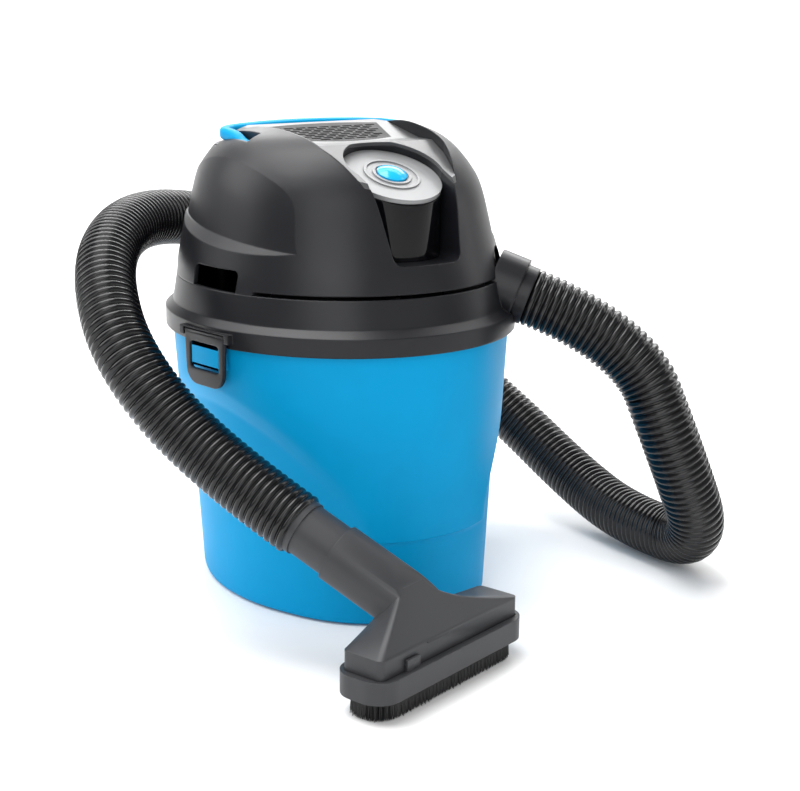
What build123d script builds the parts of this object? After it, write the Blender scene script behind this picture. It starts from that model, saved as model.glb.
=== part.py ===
from build123d import *
import math
import os

# A small wet and dry vacuum: a tapered tub, a powered head held on it by two side latches, and a ribbed hose
# that leaves the front right of the head, goes round the back and ends in a nozzle with a clip-on brush.
# Millimetres. The origin is the middle of the tub's foot on the floor, +Z is up and the front faces -Y.

# Fits
running_gap = 0.05
fit_gap = 0.2
soft_gap = 0.3

# Tub
tub_foot_half_x = 98
tub_foot_half_y = 120
tub_rim_half_x = 113.5
tub_rim_half_y = 121.5
tub_height = 186
tub_wall = 2.5
tub_floor = 4
foot_chamfer = 4
waist_height = 58
waist_step = 3
arch_half_width = 108
arch_rise = 97

# Lid collar
flange_gap = 0.5
flange_wall = 4
flange_overlap = 3
flange_height = 12
shoulder_rise = 4.5
shoulder_half_x = 113.2
shoulder_half_y = 119.5
collar_top_half_x = 110.5
collar_top_half_y = 115
collar_height = 34.5
collar_wall = 3
seal_thickness = 2
deck_thickness = 3
lip_gap = 1.5
lip_wall = 2
lip_depth = 8

# Latches
latch_y = -22
latch_width = 42
latch_corner = 7
latch_thickness = 2.8
latch_seat = 1.6
latch_length = 34.5
latch_hinge_rise = 3.5
latch_barrel_radius = 1.9
latch_pin_radius = 1
latch_window_width = 30
latch_foot_bar = 10.5
latch_window_height = 18
latch_ear_width = 4
latch_ear_reach = 1.6
latch_side_gap = 0.4
latch_notch_depth = 2.5
catch_width = 27
catch_drop = 3.2
catch_height = 12.8
catch_engagement = 0.5

# Hose port
port_bearing = 45
port_tilt = 20
port_reach = 124
port_z = 207
port_wall = 3
port_depth = 20
cuff_gap = 0.3
cuff_seat = 4
cuff_visible = 8
spigot_radius = 17
spigot_depth = 15
cuff_bore_radius = 14.5

# Head cover
head_wall = 3
pocket_wall = 2.5
ledge_height = 26
ledge_slope = 5
ledge_rise = 8
ledge_foot_half_x = 107
ledge_foot_half_y = 122
ledge_top_half_x = 98
ledge_top_half_y = 119
ledge_middle_y = 3.5
vent_width = 44
vent_height = 14
vent_middle_y = -18
vent_corner = 4
vent_depth = 25
slit_height = 2.5
slit_back_y = -52
post_radius = 5
post_front_half_x = 75
post_front_y = -25
post_back_half_x = 45
post_back_y = 88

# Switch, button and window
switch_y = -63
switch_z = 289
switch_tilt = 23
switch_radius = 33.5
switch_thickness = 3
switch_ring_height = 0.9
switch_ring_width = 2
outer_ring_radius = 19
inner_ring_radius = 13.2
button_radius = 10
button_skirt = 2.5
button_rise = 1.5
button_crown = 3
button_travel = 3
stem_radius = 4
stem_length = 8.5
stem_hole_radius = 14
switch_body_width = 24
switch_body_depth = 16
switch_body_height = 20
switch_ear_width = 4
switch_ear_thickness = 3
window_thickness = 1.8
window_set_back = 2.5
window_foot_z = 237
window_top_half_width = 32.5
window_foot_half_width = 25
window_corner = 6

# Top panel and grille
panel_thickness = 2.5
panel_front_y = -96
panel_front_half_width = 30
panel_bend_y = -71.5
panel_bend_half_width = 41.5
panel_neck_y = -54
panel_neck_half_width = 47.5
panel_crest_y = -38
well_depth = 7
panel_dip_y = -20
panel_dip_z = 307
panel_back_y = 35.5
panel_back_z = 315.5
panel_back_half_width = 58
panel_ledge = 8
air_opening_front_y = -58
grille_front = 6
grille_back = 46
grille_front_half_width = 32
grille_back_half_width = 46
grille_bow = 5
grille_margin = 2.5
slot_length = 7.4
slot_width = 2.2
slot_bar = 1.9

# Carry handle
rear_deck_z = 302.5
handle_inner_half_width = 63.5
handle_arm_width = 8
handle_pivot_y = 9
handle_pivot_z = 303.5
handle_eye_radius = 5.5
handle_pin_radius = 2.5
handle_pin_length = 16
handle_bottom_z = 306
handle_thickness = 8.5
handle_corner_y = 39
handle_inner_bow = 8
handle_bar_width = 11
handle_corner_radius = 22
handle_inner_corner = 6
handle_edge_radius = 3
handle_channel_gap = 0.9

# Motor
motor_y = 18
inlet_radius = 22
gasket_thickness = 2
fan_housing_radius = 52
fan_flange_radius = 60
fan_flange_thickness = 3
fan_housing_height = 23
fan_housing_wall = 2.2
fan_outlet_width = 22
fan_outlet_height = 8
fan_outlets = 6
impeller_radius = 46
impeller_height = 13
impeller_plate = 2
impeller_hub_radius = 9
impeller_lift = 4
impeller_blades = 8
blade_thickness = 2
blade_sweep = 25
shaft_radius = 4
shaft_hole_radius = 6
shaft_length = 99
nut_across_flats = 12
nut_height = 4
bearing_radius = 11
bearing_height = 7
bearing_boss_wall = 3
upper_bearing_radius = 9
upper_bearing_height = 6
stator_lift = 13
stator_radius = 34
stator_flat = 33
stator_height = 28
armature_radius = 20
armature_gap = 0.6
armature_slots = 12
armature_slot_radius = 1.5
winding_height = 4.5
winding_inner_radius = 21.5
winding_outer_radius = 31
end_winding_radius = 17
commutator_radius = 10
commutator_height = 11
commutator_gap = 1.5
carbon_width = 5
carbon_height = 7
carbon_length = 11
carbon_gap = 0.3
holder_wall = 2
holder_length = 11
bracket_leg_thickness = 5
bracket_leg_width = 16
bracket_plate_thickness = 4
bracket_plate_radius = 26
cooling_fan_radius = 26
cooling_fan_height = 6
cooling_fan_plate = 1.5
cooling_fan_hub_radius = 8
cooling_fan_gap = 1.5
cooling_blades = 9

# Float and filter under the deck
cage_radius = 22
cage_wall = 2
cage_length = 58
cage_floor = 3
cage_flange_thickness = 3
cage_slots = 6
cage_slot_width = 12
cage_slot_margin = 5
cage_drain_radius = 8
float_radius = 17
float_seat_radius = 13
foam_thickness = 14
filter_ring_height = 6
filter_ring_wall = 2
filter_ring_drop = 4

# Inlet elbow, gland and fasteners
elbow_inner_reach = 76
elbow_outer_reach = 103
elbow_half_width = 20
elbow_height = 32
elbow_wall = 2
gland_z = 232
gland_neck_radius = 5
gland_flange_radius = 8
gland_bore_radius = 3.2
gland_flange_y = 115.3
gland_flange_thickness = 3
gland_neck_length = 9
screw_radius = 1.75
screw_head_radius = 3.6
screw_head_height = 2.4
head_screw_length = 16
motor_screw_circle = 56
motor_screw_count = 4

# Hose
hose_radius = 20
hose_valley_radius = 17.8
hose_bore_radius = 16
hose_ribs = 198
hose_bend_share = 0.45
hose_first_run = 74
hose_last_run = 78
hose_end = Vector(-109, -127.5, 89)
hose_end_bearing = -60
hose_end_dip = 27

# Nozzle and brush
tool_cuff_radius = 16.8
tool_cuff_length = 64
tool_cuff_collar = 4
tool_socket_start = 29
tool_socket_end = 66
tool_socket_wall = 1.8
tool_x = -58
tool_y = -197
tool_turn = 16.8
nozzle_wall = 2.2
mouth_length = 134
mouth_width = 30
mouth_corner = 5
mouth_bottom = 20
mouth_height = 19
neck_width = 37
neck_corner = 17
waist_length = 78
waist_width = 34
waist_corner = 10
waist_back = 11
waist_rise = 9
waist_lean = 30
frame_rim = 5
frame_corner = 15
frame_bottom = 13
frame_overlap = 7
frame_gap = 0.3
frame_slot_width = 13
clip_width = 12
clip_thickness = 1.8
clip_rise = 7
clip_offset = 40
floor_gap = 0.2
bristle_side = 1.15
bristle_rows = 2
bristle_row_step = 2.6
bristle_pitch = 1.85
bristle_margin = 6
backing_margin = 1.4
backing_thickness = 2

# Reach of a tool that has to pass right through the object.
beyond = 400


# The oval outline of the tub or head at one height.
def oval(half_x, half_y, z, middle_y=0):
    return Pos(0, middle_y, z) * Ellipse(half_x, half_y)


# A solid oval drum from one oval straight to another.
def drum(low, high):
    return loft([oval(*low), oval(*high)], ruled=True)


# An upright round bar, or a tube where a bore is given, on the motor's axis unless another place is given.
def bar(radius, bottom, top, bore=0, x=0, y=motor_y):
    solid = Pos(x, y, (bottom + top) / 2) * Cylinder(radius, top - bottom)
    if bore:
        solid -= Pos(x, y, (bottom + top) / 2) * Cylinder(bore, top - bottom)
    return solid


# A box from its lowest corner to its highest corner.
def block(low, high):
    size = [high[i] - low[i] for i in range(3)]
    middle = [(high[i] + low[i]) / 2 for i in range(3)]
    return Pos(*middle) * Box(*size)


# A round bar along a plane's normal, between two heights over the plane.
def plane_bar(plane, radius, low, high):
    return plane * Pos(0, 0, (low + high) / 2) * Cylinder(radius, high - low)


# A right-hand piece and its left-hand twin.
def both_sides(solid):
    return [solid, mirror(solid, about=Plane.YZ)]


pieces = {}

# Tub: the upper skin stands proud of the foot, and its lower edge rises in an arch on both sides.
flange_bottom = tub_height - flange_overlap


def tub_half(z):
    share = z / tub_height
    half_x = tub_foot_half_x + (tub_rim_half_x - tub_foot_half_x) * share
    half_y = tub_foot_half_y + (tub_rim_half_y - tub_foot_half_y) * share
    return half_x, half_y


def tub_drum(inset, bottom):
    low_x, low_y = tub_half(bottom)
    low = (low_x - inset, low_y - inset, bottom)
    return drum(low, (tub_rim_half_x - inset, tub_rim_half_y - inset, tub_height))


def foot_region(grow):
    below = block((-beyond, -beyond, -beyond), (beyond, beyond, waist_height + grow))
    arch = Ellipse(arch_half_width + grow, arch_rise + grow)
    return below + extrude(Plane.YZ * Pos(0, waist_height) * arch, beyond, both=True)


def tub_form(inset, bottom, grow):
    proud = tub_drum(inset, bottom) - foot_region(grow)
    return proud + tub_drum(inset + waist_step, bottom)


ankle_x, ankle_y = [half - waist_step for half in tub_half(foot_chamfer)]
foot = drum((ankle_x - foot_chamfer, ankle_y - foot_chamfer, 0), (ankle_x, ankle_y, foot_chamfer))
tub = tub_form(0, foot_chamfer, 0) + foot - tub_form(tub_wall, tub_floor, tub_wall)

# Latch plane: its origin is under the flange's face, its x runs along the flange, y is up and z is outwards.
flange_half_x = tub_rim_half_x + flange_gap + flange_wall
flange_half_y = tub_rim_half_y + flange_gap + flange_wall
latch_x = flange_half_x * math.sqrt(1 - (latch_y / flange_half_y) ** 2)
latch_normal = Vector(latch_x / flange_half_x ** 2, latch_y / flange_half_y ** 2, 0).normalized()
latch_plane = Plane((latch_x, latch_y, 0), x_dir=(-latch_normal.Y, latch_normal.X, 0), z_dir=latch_normal)
latch_inner = -latch_seat
latch_outer = latch_thickness - latch_seat
hinge_z = tub_height + latch_hinge_rise
hinge_depth = (latch_inner + latch_outer) / 2
hinge_line = latch_plane * Pos(0, hinge_z, hinge_depth) * Rot(0, 90, 0)
latch_foot_z = hinge_z - latch_length
latch_window_z = latch_foot_z + latch_foot_bar
catch_z = latch_window_z + catch_drop

catch = latch_plane * block((-catch_width / 2, catch_z, -flange_half_x / 2),
                            (catch_width / 2, catch_z + catch_height, latch_inner + catch_engagement))
for catch_side in both_sides(catch - tub_drum(tub_wall / 2, 0)):
    tub += catch_side
pieces["tub"] = tub

# Lid collar: flange over the tub's rim, shoulder, upper wall, deck, locating lip and hose port.
flange_top = flange_bottom + flange_height
shoulder_z = flange_top + shoulder_rise
collar_top = flange_bottom + collar_height
deck_bottom = tub_height + seal_thickness
deck_top = deck_bottom + deck_thickness
collar = drum((flange_half_x, flange_half_y, flange_bottom), (flange_half_x, flange_half_y, flange_top))
collar += drum((flange_half_x, flange_half_y, flange_top), (shoulder_half_x, shoulder_half_y, shoulder_z))
collar += drum((shoulder_half_x, shoulder_half_y, shoulder_z),
               (collar_top_half_x, collar_top_half_y, collar_top))

port_turn = math.radians(port_bearing)
port_dip = math.radians(port_tilt)
port_heading = Vector(math.sin(port_turn), -math.cos(port_turn), 0)
port_axis = port_heading * math.cos(port_dip) - Vector(0, 0, math.sin(port_dip))
port_mouth = port_heading * port_reach + Vector(0, 0, port_z)
port_plane = Plane(port_mouth, x_dir=(-port_heading.Y, port_heading.X, 0), z_dir=port_axis)
cuff_radius = hose_radius
port_radius = cuff_radius + cuff_gap + port_wall
collar += plane_bar(port_plane, port_radius, -port_depth, 0)

rim_x = flange_half_x - flange_wall
rim_y = flange_half_y - flange_wall
rim_groove = drum((rim_x, rim_y, flange_bottom - port_radius), (rim_x, rim_y, deck_bottom))
collar -= rim_groove
collar -= drum((shoulder_half_x - collar_wall, shoulder_half_y - collar_wall, deck_top),
               (collar_top_half_x - collar_wall, collar_top_half_y - collar_wall, collar_top))
lip_x = tub_rim_half_x - tub_wall - lip_gap
lip_y = tub_rim_half_y - tub_wall - lip_gap
lip_bottom = tub_height - lip_depth
lip = drum((lip_x, lip_y, lip_bottom), (lip_x, lip_y, deck_bottom))
lip -= drum((lip_x - lip_wall, lip_y - lip_wall, lip_bottom),
            (lip_x - lip_wall, lip_y - lip_wall, deck_bottom))
collar += lip

collar -= plane_bar(port_plane, cuff_radius + cuff_gap, -cuff_seat, port_depth)
collar -= plane_bar(port_plane, spigot_radius + cuff_gap, -2 * port_depth, port_depth)
collar -= bar(inlet_radius, deck_bottom, deck_top)
elbow_plane = Plane((0, 0, 0), x_dir=port_heading, z_dir=(0, 0, 1))
elbow_duct_half = elbow_half_width - elbow_wall
collar -= elbow_plane * block((elbow_inner_reach + elbow_wall, -elbow_duct_half, deck_bottom),
                              (elbow_outer_reach, elbow_duct_half, deck_top))

front_posts = [(x, post_front_y) for x in (-post_front_half_x, post_front_half_x)]
back_posts = [(x, post_back_y) for x in (-post_back_half_x, post_back_half_x)]
post_places = front_posts + back_posts
screw_hole_radius = screw_radius + running_gap
for x, y in post_places:
    collar -= bar(screw_hole_radius, deck_bottom, deck_top, x=x, y=y)
motor_screw_places = []
for i in range(motor_screw_count):
    angle = math.radians(360 / motor_screw_count * (i + 0.5))
    motor_screw_x = motor_screw_circle * math.cos(angle)
    motor_screw_places.append((motor_screw_x, motor_y + motor_screw_circle * math.sin(angle)))


def motor_screw_holes(bottom, top):
    return [bar(screw_hole_radius, bottom, top, x=x, y=y) for x, y in motor_screw_places]


collar -= motor_screw_holes(deck_bottom, deck_top)

notch_half = latch_width / 2 + latch_side_gap
ear_half_height = latch_barrel_radius + latch_pin_radius
ears = latch_plane * block((-notch_half - latch_ear_width, hinge_z - ear_half_height, -flange_wall),
                           (notch_half + latch_ear_width, hinge_z + ear_half_height, latch_ear_reach))
notch = latch_plane * block((-notch_half, flange_bottom - latch_length, -latch_notch_depth),
                            (notch_half, hinge_z + latch_barrel_radius + latch_side_gap, latch_length))
pin_length = 2 * notch_half + latch_ear_width
pin_hole = hinge_line * Cylinder(latch_pin_radius + running_gap, pin_length)
ear_sets = zip(both_sides(ears - rim_groove), both_sides(notch), both_sides(pin_hole))
for ears_side, notch_side, hole_side in ear_sets:
    collar += ears_side
    collar -= notch_side
    collar -= hole_side
pieces["lid_collar"] = collar

# Lid seal: a soft ring between the tub's rim and the deck.
seal = drum((tub_rim_half_x, tub_rim_half_y, tub_height), (tub_rim_half_x, tub_rim_half_y, deck_bottom))
seal -= drum((lip_x + fit_gap, lip_y + fit_gap, tub_height), (lip_x + fit_gap, lip_y + fit_gap, deck_bottom))
pieces["lid_seal"] = seal

# Latches: a tongue with a window, hung on a steel pin between the flange's ears.
tongue = Pos(0, latch_foot_z + latch_length / 2) * Rectangle(latch_width, latch_length)
tongue = fillet(tongue.vertices().sort_by(Axis.Y)[:2], latch_corner)
window_middle = latch_window_z + latch_window_height / 2
tongue -= Pos(0, window_middle) * Rectangle(latch_window_width, latch_window_height)
latch = latch_plane * Pos(0, 0, latch_inner) * extrude(tongue, latch_thickness)
latch += hinge_line * Cylinder(latch_barrel_radius, latch_width)
latch -= hinge_line * Cylinder(latch_pin_radius + running_gap, latch_width)
pieces["latch_right"], pieces["latch_left"] = both_sides(latch)
pieces["latch_pins"] = Compound(both_sides(hinge_line * Cylinder(latch_pin_radius, pin_length)))

# Head cover's dome: height over the collar, half width, half depth, middle in Y, and how much of the wall
# is taken off the height there.
dome_rows = [
    (0, collar_top_half_x, collar_top_half_y, 0, 0),
    (8.5, 109.3, 113.8, 1, 0),
    (22.5, 106, 110.5, 2.5, 0),
    (44.5, 101.5, 105.5, 4, 0.1),
    (61.5, 96.8, 100.7, 5, 0.3),
    (74.5, 89.2, 92.8, 5.5, 0.5),
    (86.5, 79, 82.5, 6.5, 0.8),
    (94.5, 67, 70, 7, 0.9),
    (99.5, 54, 57, 7, 1),
    (102.5, 36, 39, 7, 1),
]

# Flattened sides of the dome above the ledge: height over the collar, half width, half depth, middle in Y.
side_rows = [
    (0, 105.5, 121, 3.5),
    (22.5, 101, 118.5, 3.5),
    (44.5, 96, 114, 4),
    (67.5, 90.3, 106, 5),
    (85.5, 81.5, 95, 6.5),
    (107.5, 66, 80, 7),
]


def head_form(inset):
    ovals = []
    for z, x, y, middle, lean in dome_rows:
        ovals.append(oval(x - inset, y - inset, collar_top + z - lean * inset, middle))
    sides = [oval(x - inset, y - inset, collar_top + z, middle) for z, x, y, middle in side_rows]
    ledge = Pos(0, 0, collar_top + ledge_height - inset) * Rot(ledge_slope, 0, 0)
    above_ledge = ledge * block((-beyond, -beyond, 0), (beyond, beyond, beyond))
    slope_foot = oval(ledge_foot_half_x - inset, ledge_foot_half_y - inset, 0, ledge_middle_y)
    slope_top = oval(ledge_top_half_x - inset, ledge_top_half_y - inset, ledge_rise, ledge_middle_y)
    ledge_band = ledge * loft([slope_foot, slope_top])
    return loft(ovals) - (above_ledge - loft(sides) - ledge_band)


head_outside = head_form(0)
head_shell = head_outside - head_form(head_wall)

# Switch recess: a tilted round well at the front of the dome.
switch_slope = math.radians(switch_tilt)
switch_normal = Vector(0, -math.sin(switch_slope), math.cos(switch_slope))
switch_plane = Plane((0, switch_y, switch_z), x_dir=(1, 0, 0), z_dir=switch_normal)
recess_radius = switch_radius + fit_gap
recess_floor = -switch_thickness - pocket_wall
recess = plane_bar(switch_plane, recess_radius, -switch_thickness, beyond)
recess_walls = plane_bar(switch_plane, recess_radius + pocket_wall, recess_floor, beyond)
stem_hole = plane_bar(switch_plane, stem_hole_radius, recess_floor - pocket_wall, 0)

# Window pocket: a tapering recess in the front, with the round pod of the switch standing in it.
window_plane = Plane((0, switch_y, 0), x_dir=(1, 0, 0), z_dir=(0, -1, 0))
window_axis_y = switch_y + window_set_back
pod_radius = switch_radius - window_thickness - fit_gap


def window_outline(grow):
    corners = [(-window_foot_half_width, window_foot_z), (window_foot_half_width, window_foot_z),
               (window_top_half_width, switch_z), (-window_top_half_width, switch_z)]
    outline = Polygon(*corners, align=None)
    outline = fillet(outline.vertices().sort_by(Axis.Y)[:2], window_corner)
    return offset(outline, grow)


def window_prism(grow, core_radius):
    prism = extrude(window_plane * window_outline(grow), beyond)
    return prism - bar(core_radius, 0, beyond, y=window_axis_y)


window_pocket = window_prism(fit_gap, pod_radius)
window_walls = window_prism(fit_gap + pocket_wall, pod_radius - pocket_wall)


# Valley of the top panel: its plan, and the space above its curved upper or under side.
def panel_plan(grow):
    right = [(panel_front_half_width, panel_front_y), (panel_bend_half_width, panel_bend_y),
             (panel_neck_half_width, panel_neck_y)]
    left = [(-x, y) for x, y in reversed(right)]
    back = [(panel_back_half_width, panel_back_y), (-panel_back_half_width, panel_back_y)]
    edges = [ThreePointArc(*right), Line(right[2], back[0]), Line(*back), Line(back[1], left[0]),
             ThreePointArc(*left), Line(left[2], right[0])]
    plan = make_face(edges)
    return offset(plan, grow) if grow else plan


def above_panel(drop):
    front = panel_front_y - switch_radius
    well_rim_z = switch_z + well_depth / math.cos(switch_slope)
    front_z = well_rim_z + (front - switch_y) * math.tan(switch_slope)
    crest_z = well_rim_z + (panel_crest_y - switch_y) * math.tan(switch_slope)
    rise = (panel_back_z - panel_dip_z) / (panel_back_y - panel_dip_y)
    back = panel_back_y + handle_corner_y
    back_z = panel_back_z + rise * handle_corner_y
    points = [(front, front_z - drop), (panel_crest_y, crest_z - drop), (panel_dip_y, panel_dip_z - drop),
              (back, back_z - drop), (back, beyond), (front, beyond)]
    return extrude(Plane.YZ * Polygon(*points, align=None), beyond, both=True)


def valley_space(grow, drop):
    return extrude(panel_plan(grow), beyond) & above_panel(drop)


valley = valley_space(0, panel_thickness)
valley_walls = valley_space(pocket_wall, panel_thickness + pocket_wall)
switch_column = plane_bar(switch_plane, recess_radius + pocket_wall, -beyond, beyond)
air_opening = extrude(panel_plan(-panel_ledge), beyond) - switch_column
air_opening -= block((-beyond, -beyond, 0), (beyond, air_opening_front_y, beyond))

# Rear deck under the folded handle, and the two channels of its arms.
channel_inner = handle_inner_half_width - handle_channel_gap
channel_outer = handle_inner_half_width + handle_arm_width + handle_channel_gap
handle_top_z = handle_bottom_z + handle_thickness
channel_front = handle_pivot_y - (handle_top_z - handle_pivot_z) - handle_channel_gap
channel_z = handle_pivot_z - handle_eye_radius - handle_channel_gap


def handle_space(grow):
    deck = block((-beyond, panel_back_y - grow, rear_deck_z - grow), (beyond, beyond, beyond))
    channel = block((channel_inner - grow, channel_front - grow, channel_z - grow),
                    (channel_outer + grow, handle_corner_y + handle_arm_width, beyond))
    return [deck] + both_sides(channel)


pin_start = channel_inner - pocket_wall - 2 * running_gap
handle_pin_line = Pos(pin_start + handle_pin_length / 2, handle_pivot_y, handle_pivot_z) * Rot(0, 90, 0)

# Head cover: the shell with its wells, screw posts, vents and the notch round the hose port.
inner_walls = [recess_walls, window_walls, valley_walls] + handle_space(pocket_wall)
wells = [recess, stem_hole, window_pocket, valley, air_opening] + handle_space(0)
head_cover = head_shell
for walls in inner_walls:
    head_cover += walls & head_outside
for x, y in post_places:
    head_cover += bar(post_radius, collar_top, beyond, x=x, y=y) & head_outside
    head_cover += bar(post_radius, deck_top, collar_top + head_wall, x=x, y=y)
for well in wells:
    head_cover -= well
for x, y in post_places:
    head_cover -= bar(screw_hole_radius, deck_top, deck_bottom + head_screw_length, x=x, y=y)
vent_plan = Pos(vent_middle_y, collar_top) * RectangleRounded(vent_width, 2 * vent_height, vent_corner)
vent_start = collar_top_half_x - vent_depth
vent = Pos(vent_start, 0, 0) * extrude(Plane.YZ * vent_plan, flange_half_x - vent_start)
slit = block((-flange_half_x, -flange_half_y, collar_top),
             (flange_half_x, slit_back_y, collar_top + slit_height))
pin_holes = both_sides(handle_pin_line * Cylinder(handle_pin_radius + running_gap, handle_pin_length))
head_cover -= both_sides(vent) + [slit] + pin_holes
head_cover -= plane_bar(port_plane, port_radius + cuff_gap, -2 * port_depth, port_depth)
gland_line = Pos(0, gland_flange_y - gland_neck_length / 2, gland_z) * Rot(90, 0, 0)
head_cover -= gland_line * Cylinder(gland_neck_radius + running_gap, 2 * gland_neck_length)
pieces["head_cover"] = head_cover

# Top panel and the intake grille let into its rising back part.
panel = above_panel(panel_thickness) - above_panel(0)
panel &= extrude(panel_plan(-fit_gap), beyond)
panel &= head_outside
panel -= plane_bar(switch_plane, recess_radius, -beyond, beyond)
panel -= block((-window_top_half_width, -beyond, 0), (window_top_half_width, switch_y, beyond))
panel_slope = math.atan2(panel_back_z - panel_dip_z, panel_back_y - panel_dip_y)
grille_plane = Plane((0, panel_dip_y, panel_dip_z), x_dir=(1, 0, 0),
                     z_dir=(0, -math.sin(panel_slope), math.cos(panel_slope)))


def grille_half_width(y):
    share = (y - grille_front) / (grille_back - grille_front)
    return grille_front_half_width + (grille_back_half_width - grille_front_half_width) * share


def grille_plan(grow):
    front = [(-grille_front_half_width, grille_front), (0, grille_front - grille_bow),
             (grille_front_half_width, grille_front)]
    back = [(grille_back_half_width, grille_back), (0, grille_back + grille_bow),
            (-grille_back_half_width, grille_back)]
    edges = [ThreePointArc(*front), Line(front[2], back[0]), ThreePointArc(*back), Line(back[2], front[0])]
    plan = make_face(edges)
    return offset(plan, grow) if grow else plan


grille_hole = extrude(grille_plane * grille_plan(fit_gap), panel_thickness * 2, both=True)
panel -= grille_hole
pieces["top_panel"] = panel

grille = extrude(grille_plane * grille_plan(0), -panel_thickness * math.cos(panel_slope))
slot_step_x = slot_length + slot_bar
slot_step_y = slot_width + slot_bar
slots = []
row_count = int((grille_back - grille_front) // slot_step_y)
for row in range(row_count):
    slot_y = grille_front + (row + 0.5) * slot_step_y
    shift = slot_step_x / 2 * (row % 2)
    reach = grille_half_width(slot_y) - grille_margin - slot_length / 2
    columns = int(reach // slot_step_x) + 1
    for column in range(-columns, columns + 1):
        slot_x = column * slot_step_x + shift
        if abs(slot_x) <= reach:
            slot = Pos(slot_x, slot_y) * Box(slot_length, slot_width, panel_thickness * 4)
            slots.append(grille_plane * slot)
grille -= slots
pieces["intake_grille"] = grille

# Switch plate with two raised rings round the button, the button and the switch under it.
button_hole_radius = button_radius + soft_gap
switch_plate = plane_bar(switch_plane, switch_radius, -switch_thickness, 0)
for ring_radius in (outer_ring_radius, inner_ring_radius):
    ring = plane_bar(switch_plane, ring_radius, -switch_thickness, switch_ring_height)
    ring_inner = ring_radius - switch_ring_width
    switch_plate += ring - plane_bar(switch_plane, ring_inner, -switch_thickness, switch_ring_height)
switch_plate -= plane_bar(switch_plane, button_hole_radius, -switch_thickness, switch_ring_height)
pieces["switch_plate"] = switch_plate

crown_radius = (button_radius ** 2 + button_crown ** 2) / (2 * button_crown)
crown_top = button_rise + button_crown
crown = switch_plane * Pos(0, 0, crown_top - crown_radius) * Sphere(crown_radius)
button = plane_bar(switch_plane, button_radius, -button_skirt, crown_top) & crown
stem_foot = -button_skirt - stem_length
button += plane_bar(switch_plane, stem_radius, stem_foot, 0)
pieces["power_button"] = button

switch_top = stem_foot - button_travel - soft_gap
ear_inner = stem_hole_radius + fit_gap
ear_outer = ear_inner + switch_ear_width
switch_bottom = switch_top - switch_body_height
switch_body = switch_plane * block((-switch_body_width / 2, -switch_body_depth / 2, switch_bottom),
                                   (switch_body_width / 2, switch_body_depth / 2, switch_top))
switch_body += switch_plane * block((-ear_outer, -switch_ear_width, switch_top - switch_ear_thickness),
                                    (ear_outer, switch_ear_width, switch_top))
switch_ear = switch_plane * block((ear_inner, -switch_ear_width, switch_top),
                                  (ear_outer, switch_ear_width, recess_floor))
for ear in both_sides(switch_ear):
    switch_body += ear
pieces["switch_body"] = switch_body

# Display window: a thin curved plate on the front of the pod, under the switch plate.
window = extrude(window_plane * window_outline(0), beyond)
window &= bar(pod_radius + fit_gap + window_thickness, 0, beyond, pod_radius + fit_gap, y=window_axis_y)
window -= switch_plane * block((-beyond, -beyond, -switch_thickness - fit_gap), (beyond, beyond, beyond))
pieces["display_window"] = window


# Carry handle: a bowed bar between two arms that swing on pins in the head.
def handle_plan(half_width, corner_y, bow, corner_radius):
    corners = [(-half_width, corner_y), (half_width, corner_y)]
    arc = ThreePointArc(corners[0], (0, corner_y + bow), corners[1])
    start = [(-half_width, handle_pivot_y), (half_width, handle_pivot_y)]
    plan = make_face([arc, Line(corners[1], start[1]), Line(start[1], start[0]), Line(start[0], corners[0])])
    return fillet(plan.vertices().sort_by(Axis.Y)[-2:], corner_radius)


handle_outer_half_width = handle_inner_half_width + handle_arm_width
handle_shape = handle_plan(handle_outer_half_width, handle_corner_y + handle_arm_width,
                           handle_inner_bow + handle_bar_width - handle_arm_width, handle_corner_radius)
handle_shape -= handle_plan(handle_inner_half_width, handle_corner_y, handle_inner_bow,
                            handle_inner_corner)
handle = extrude(Pos(0, 0, handle_bottom_z) * handle_shape, handle_thickness)
flat_faces = handle.faces().filter_by(Axis.Z)
handle = fillet(flat_faces.edges(), handle_edge_radius)
eye_line = Pos(handle_inner_half_width + handle_arm_width / 2, handle_pivot_y, handle_pivot_z) * Rot(0, 90, 0)
arm_root_y = handle_pivot_y + 2 * handle_eye_radius
arm_root = block((handle_inner_half_width, handle_pivot_y, handle_pivot_z - handle_pin_radius),
                 (handle_outer_half_width, arm_root_y, handle_bottom_z + handle_pin_radius))
for arm in both_sides(eye_line * Cylinder(handle_eye_radius, handle_arm_width) + arm_root):
    handle += arm
for hole in both_sides(eye_line * Cylinder(handle_pin_radius + running_gap, 2 * handle_arm_width)):
    handle -= hole
pieces["carry_handle"] = handle
pieces["handle_pins"] = Compound(both_sides(handle_pin_line * Cylinder(handle_pin_radius, handle_pin_length)))

# Motor, from the gasket on the deck up to the cooling fan.
housing_bore = fan_housing_radius - fan_housing_wall
housing_bottom = deck_top + gasket_thickness
housing_flange_top = housing_bottom + fan_flange_thickness
housing_top = housing_bottom + fan_housing_height
gasket = bar(fan_flange_radius, deck_top, housing_bottom, housing_bore)
pieces["motor_gasket"] = gasket - motor_screw_holes(deck_top, housing_bottom)

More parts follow.
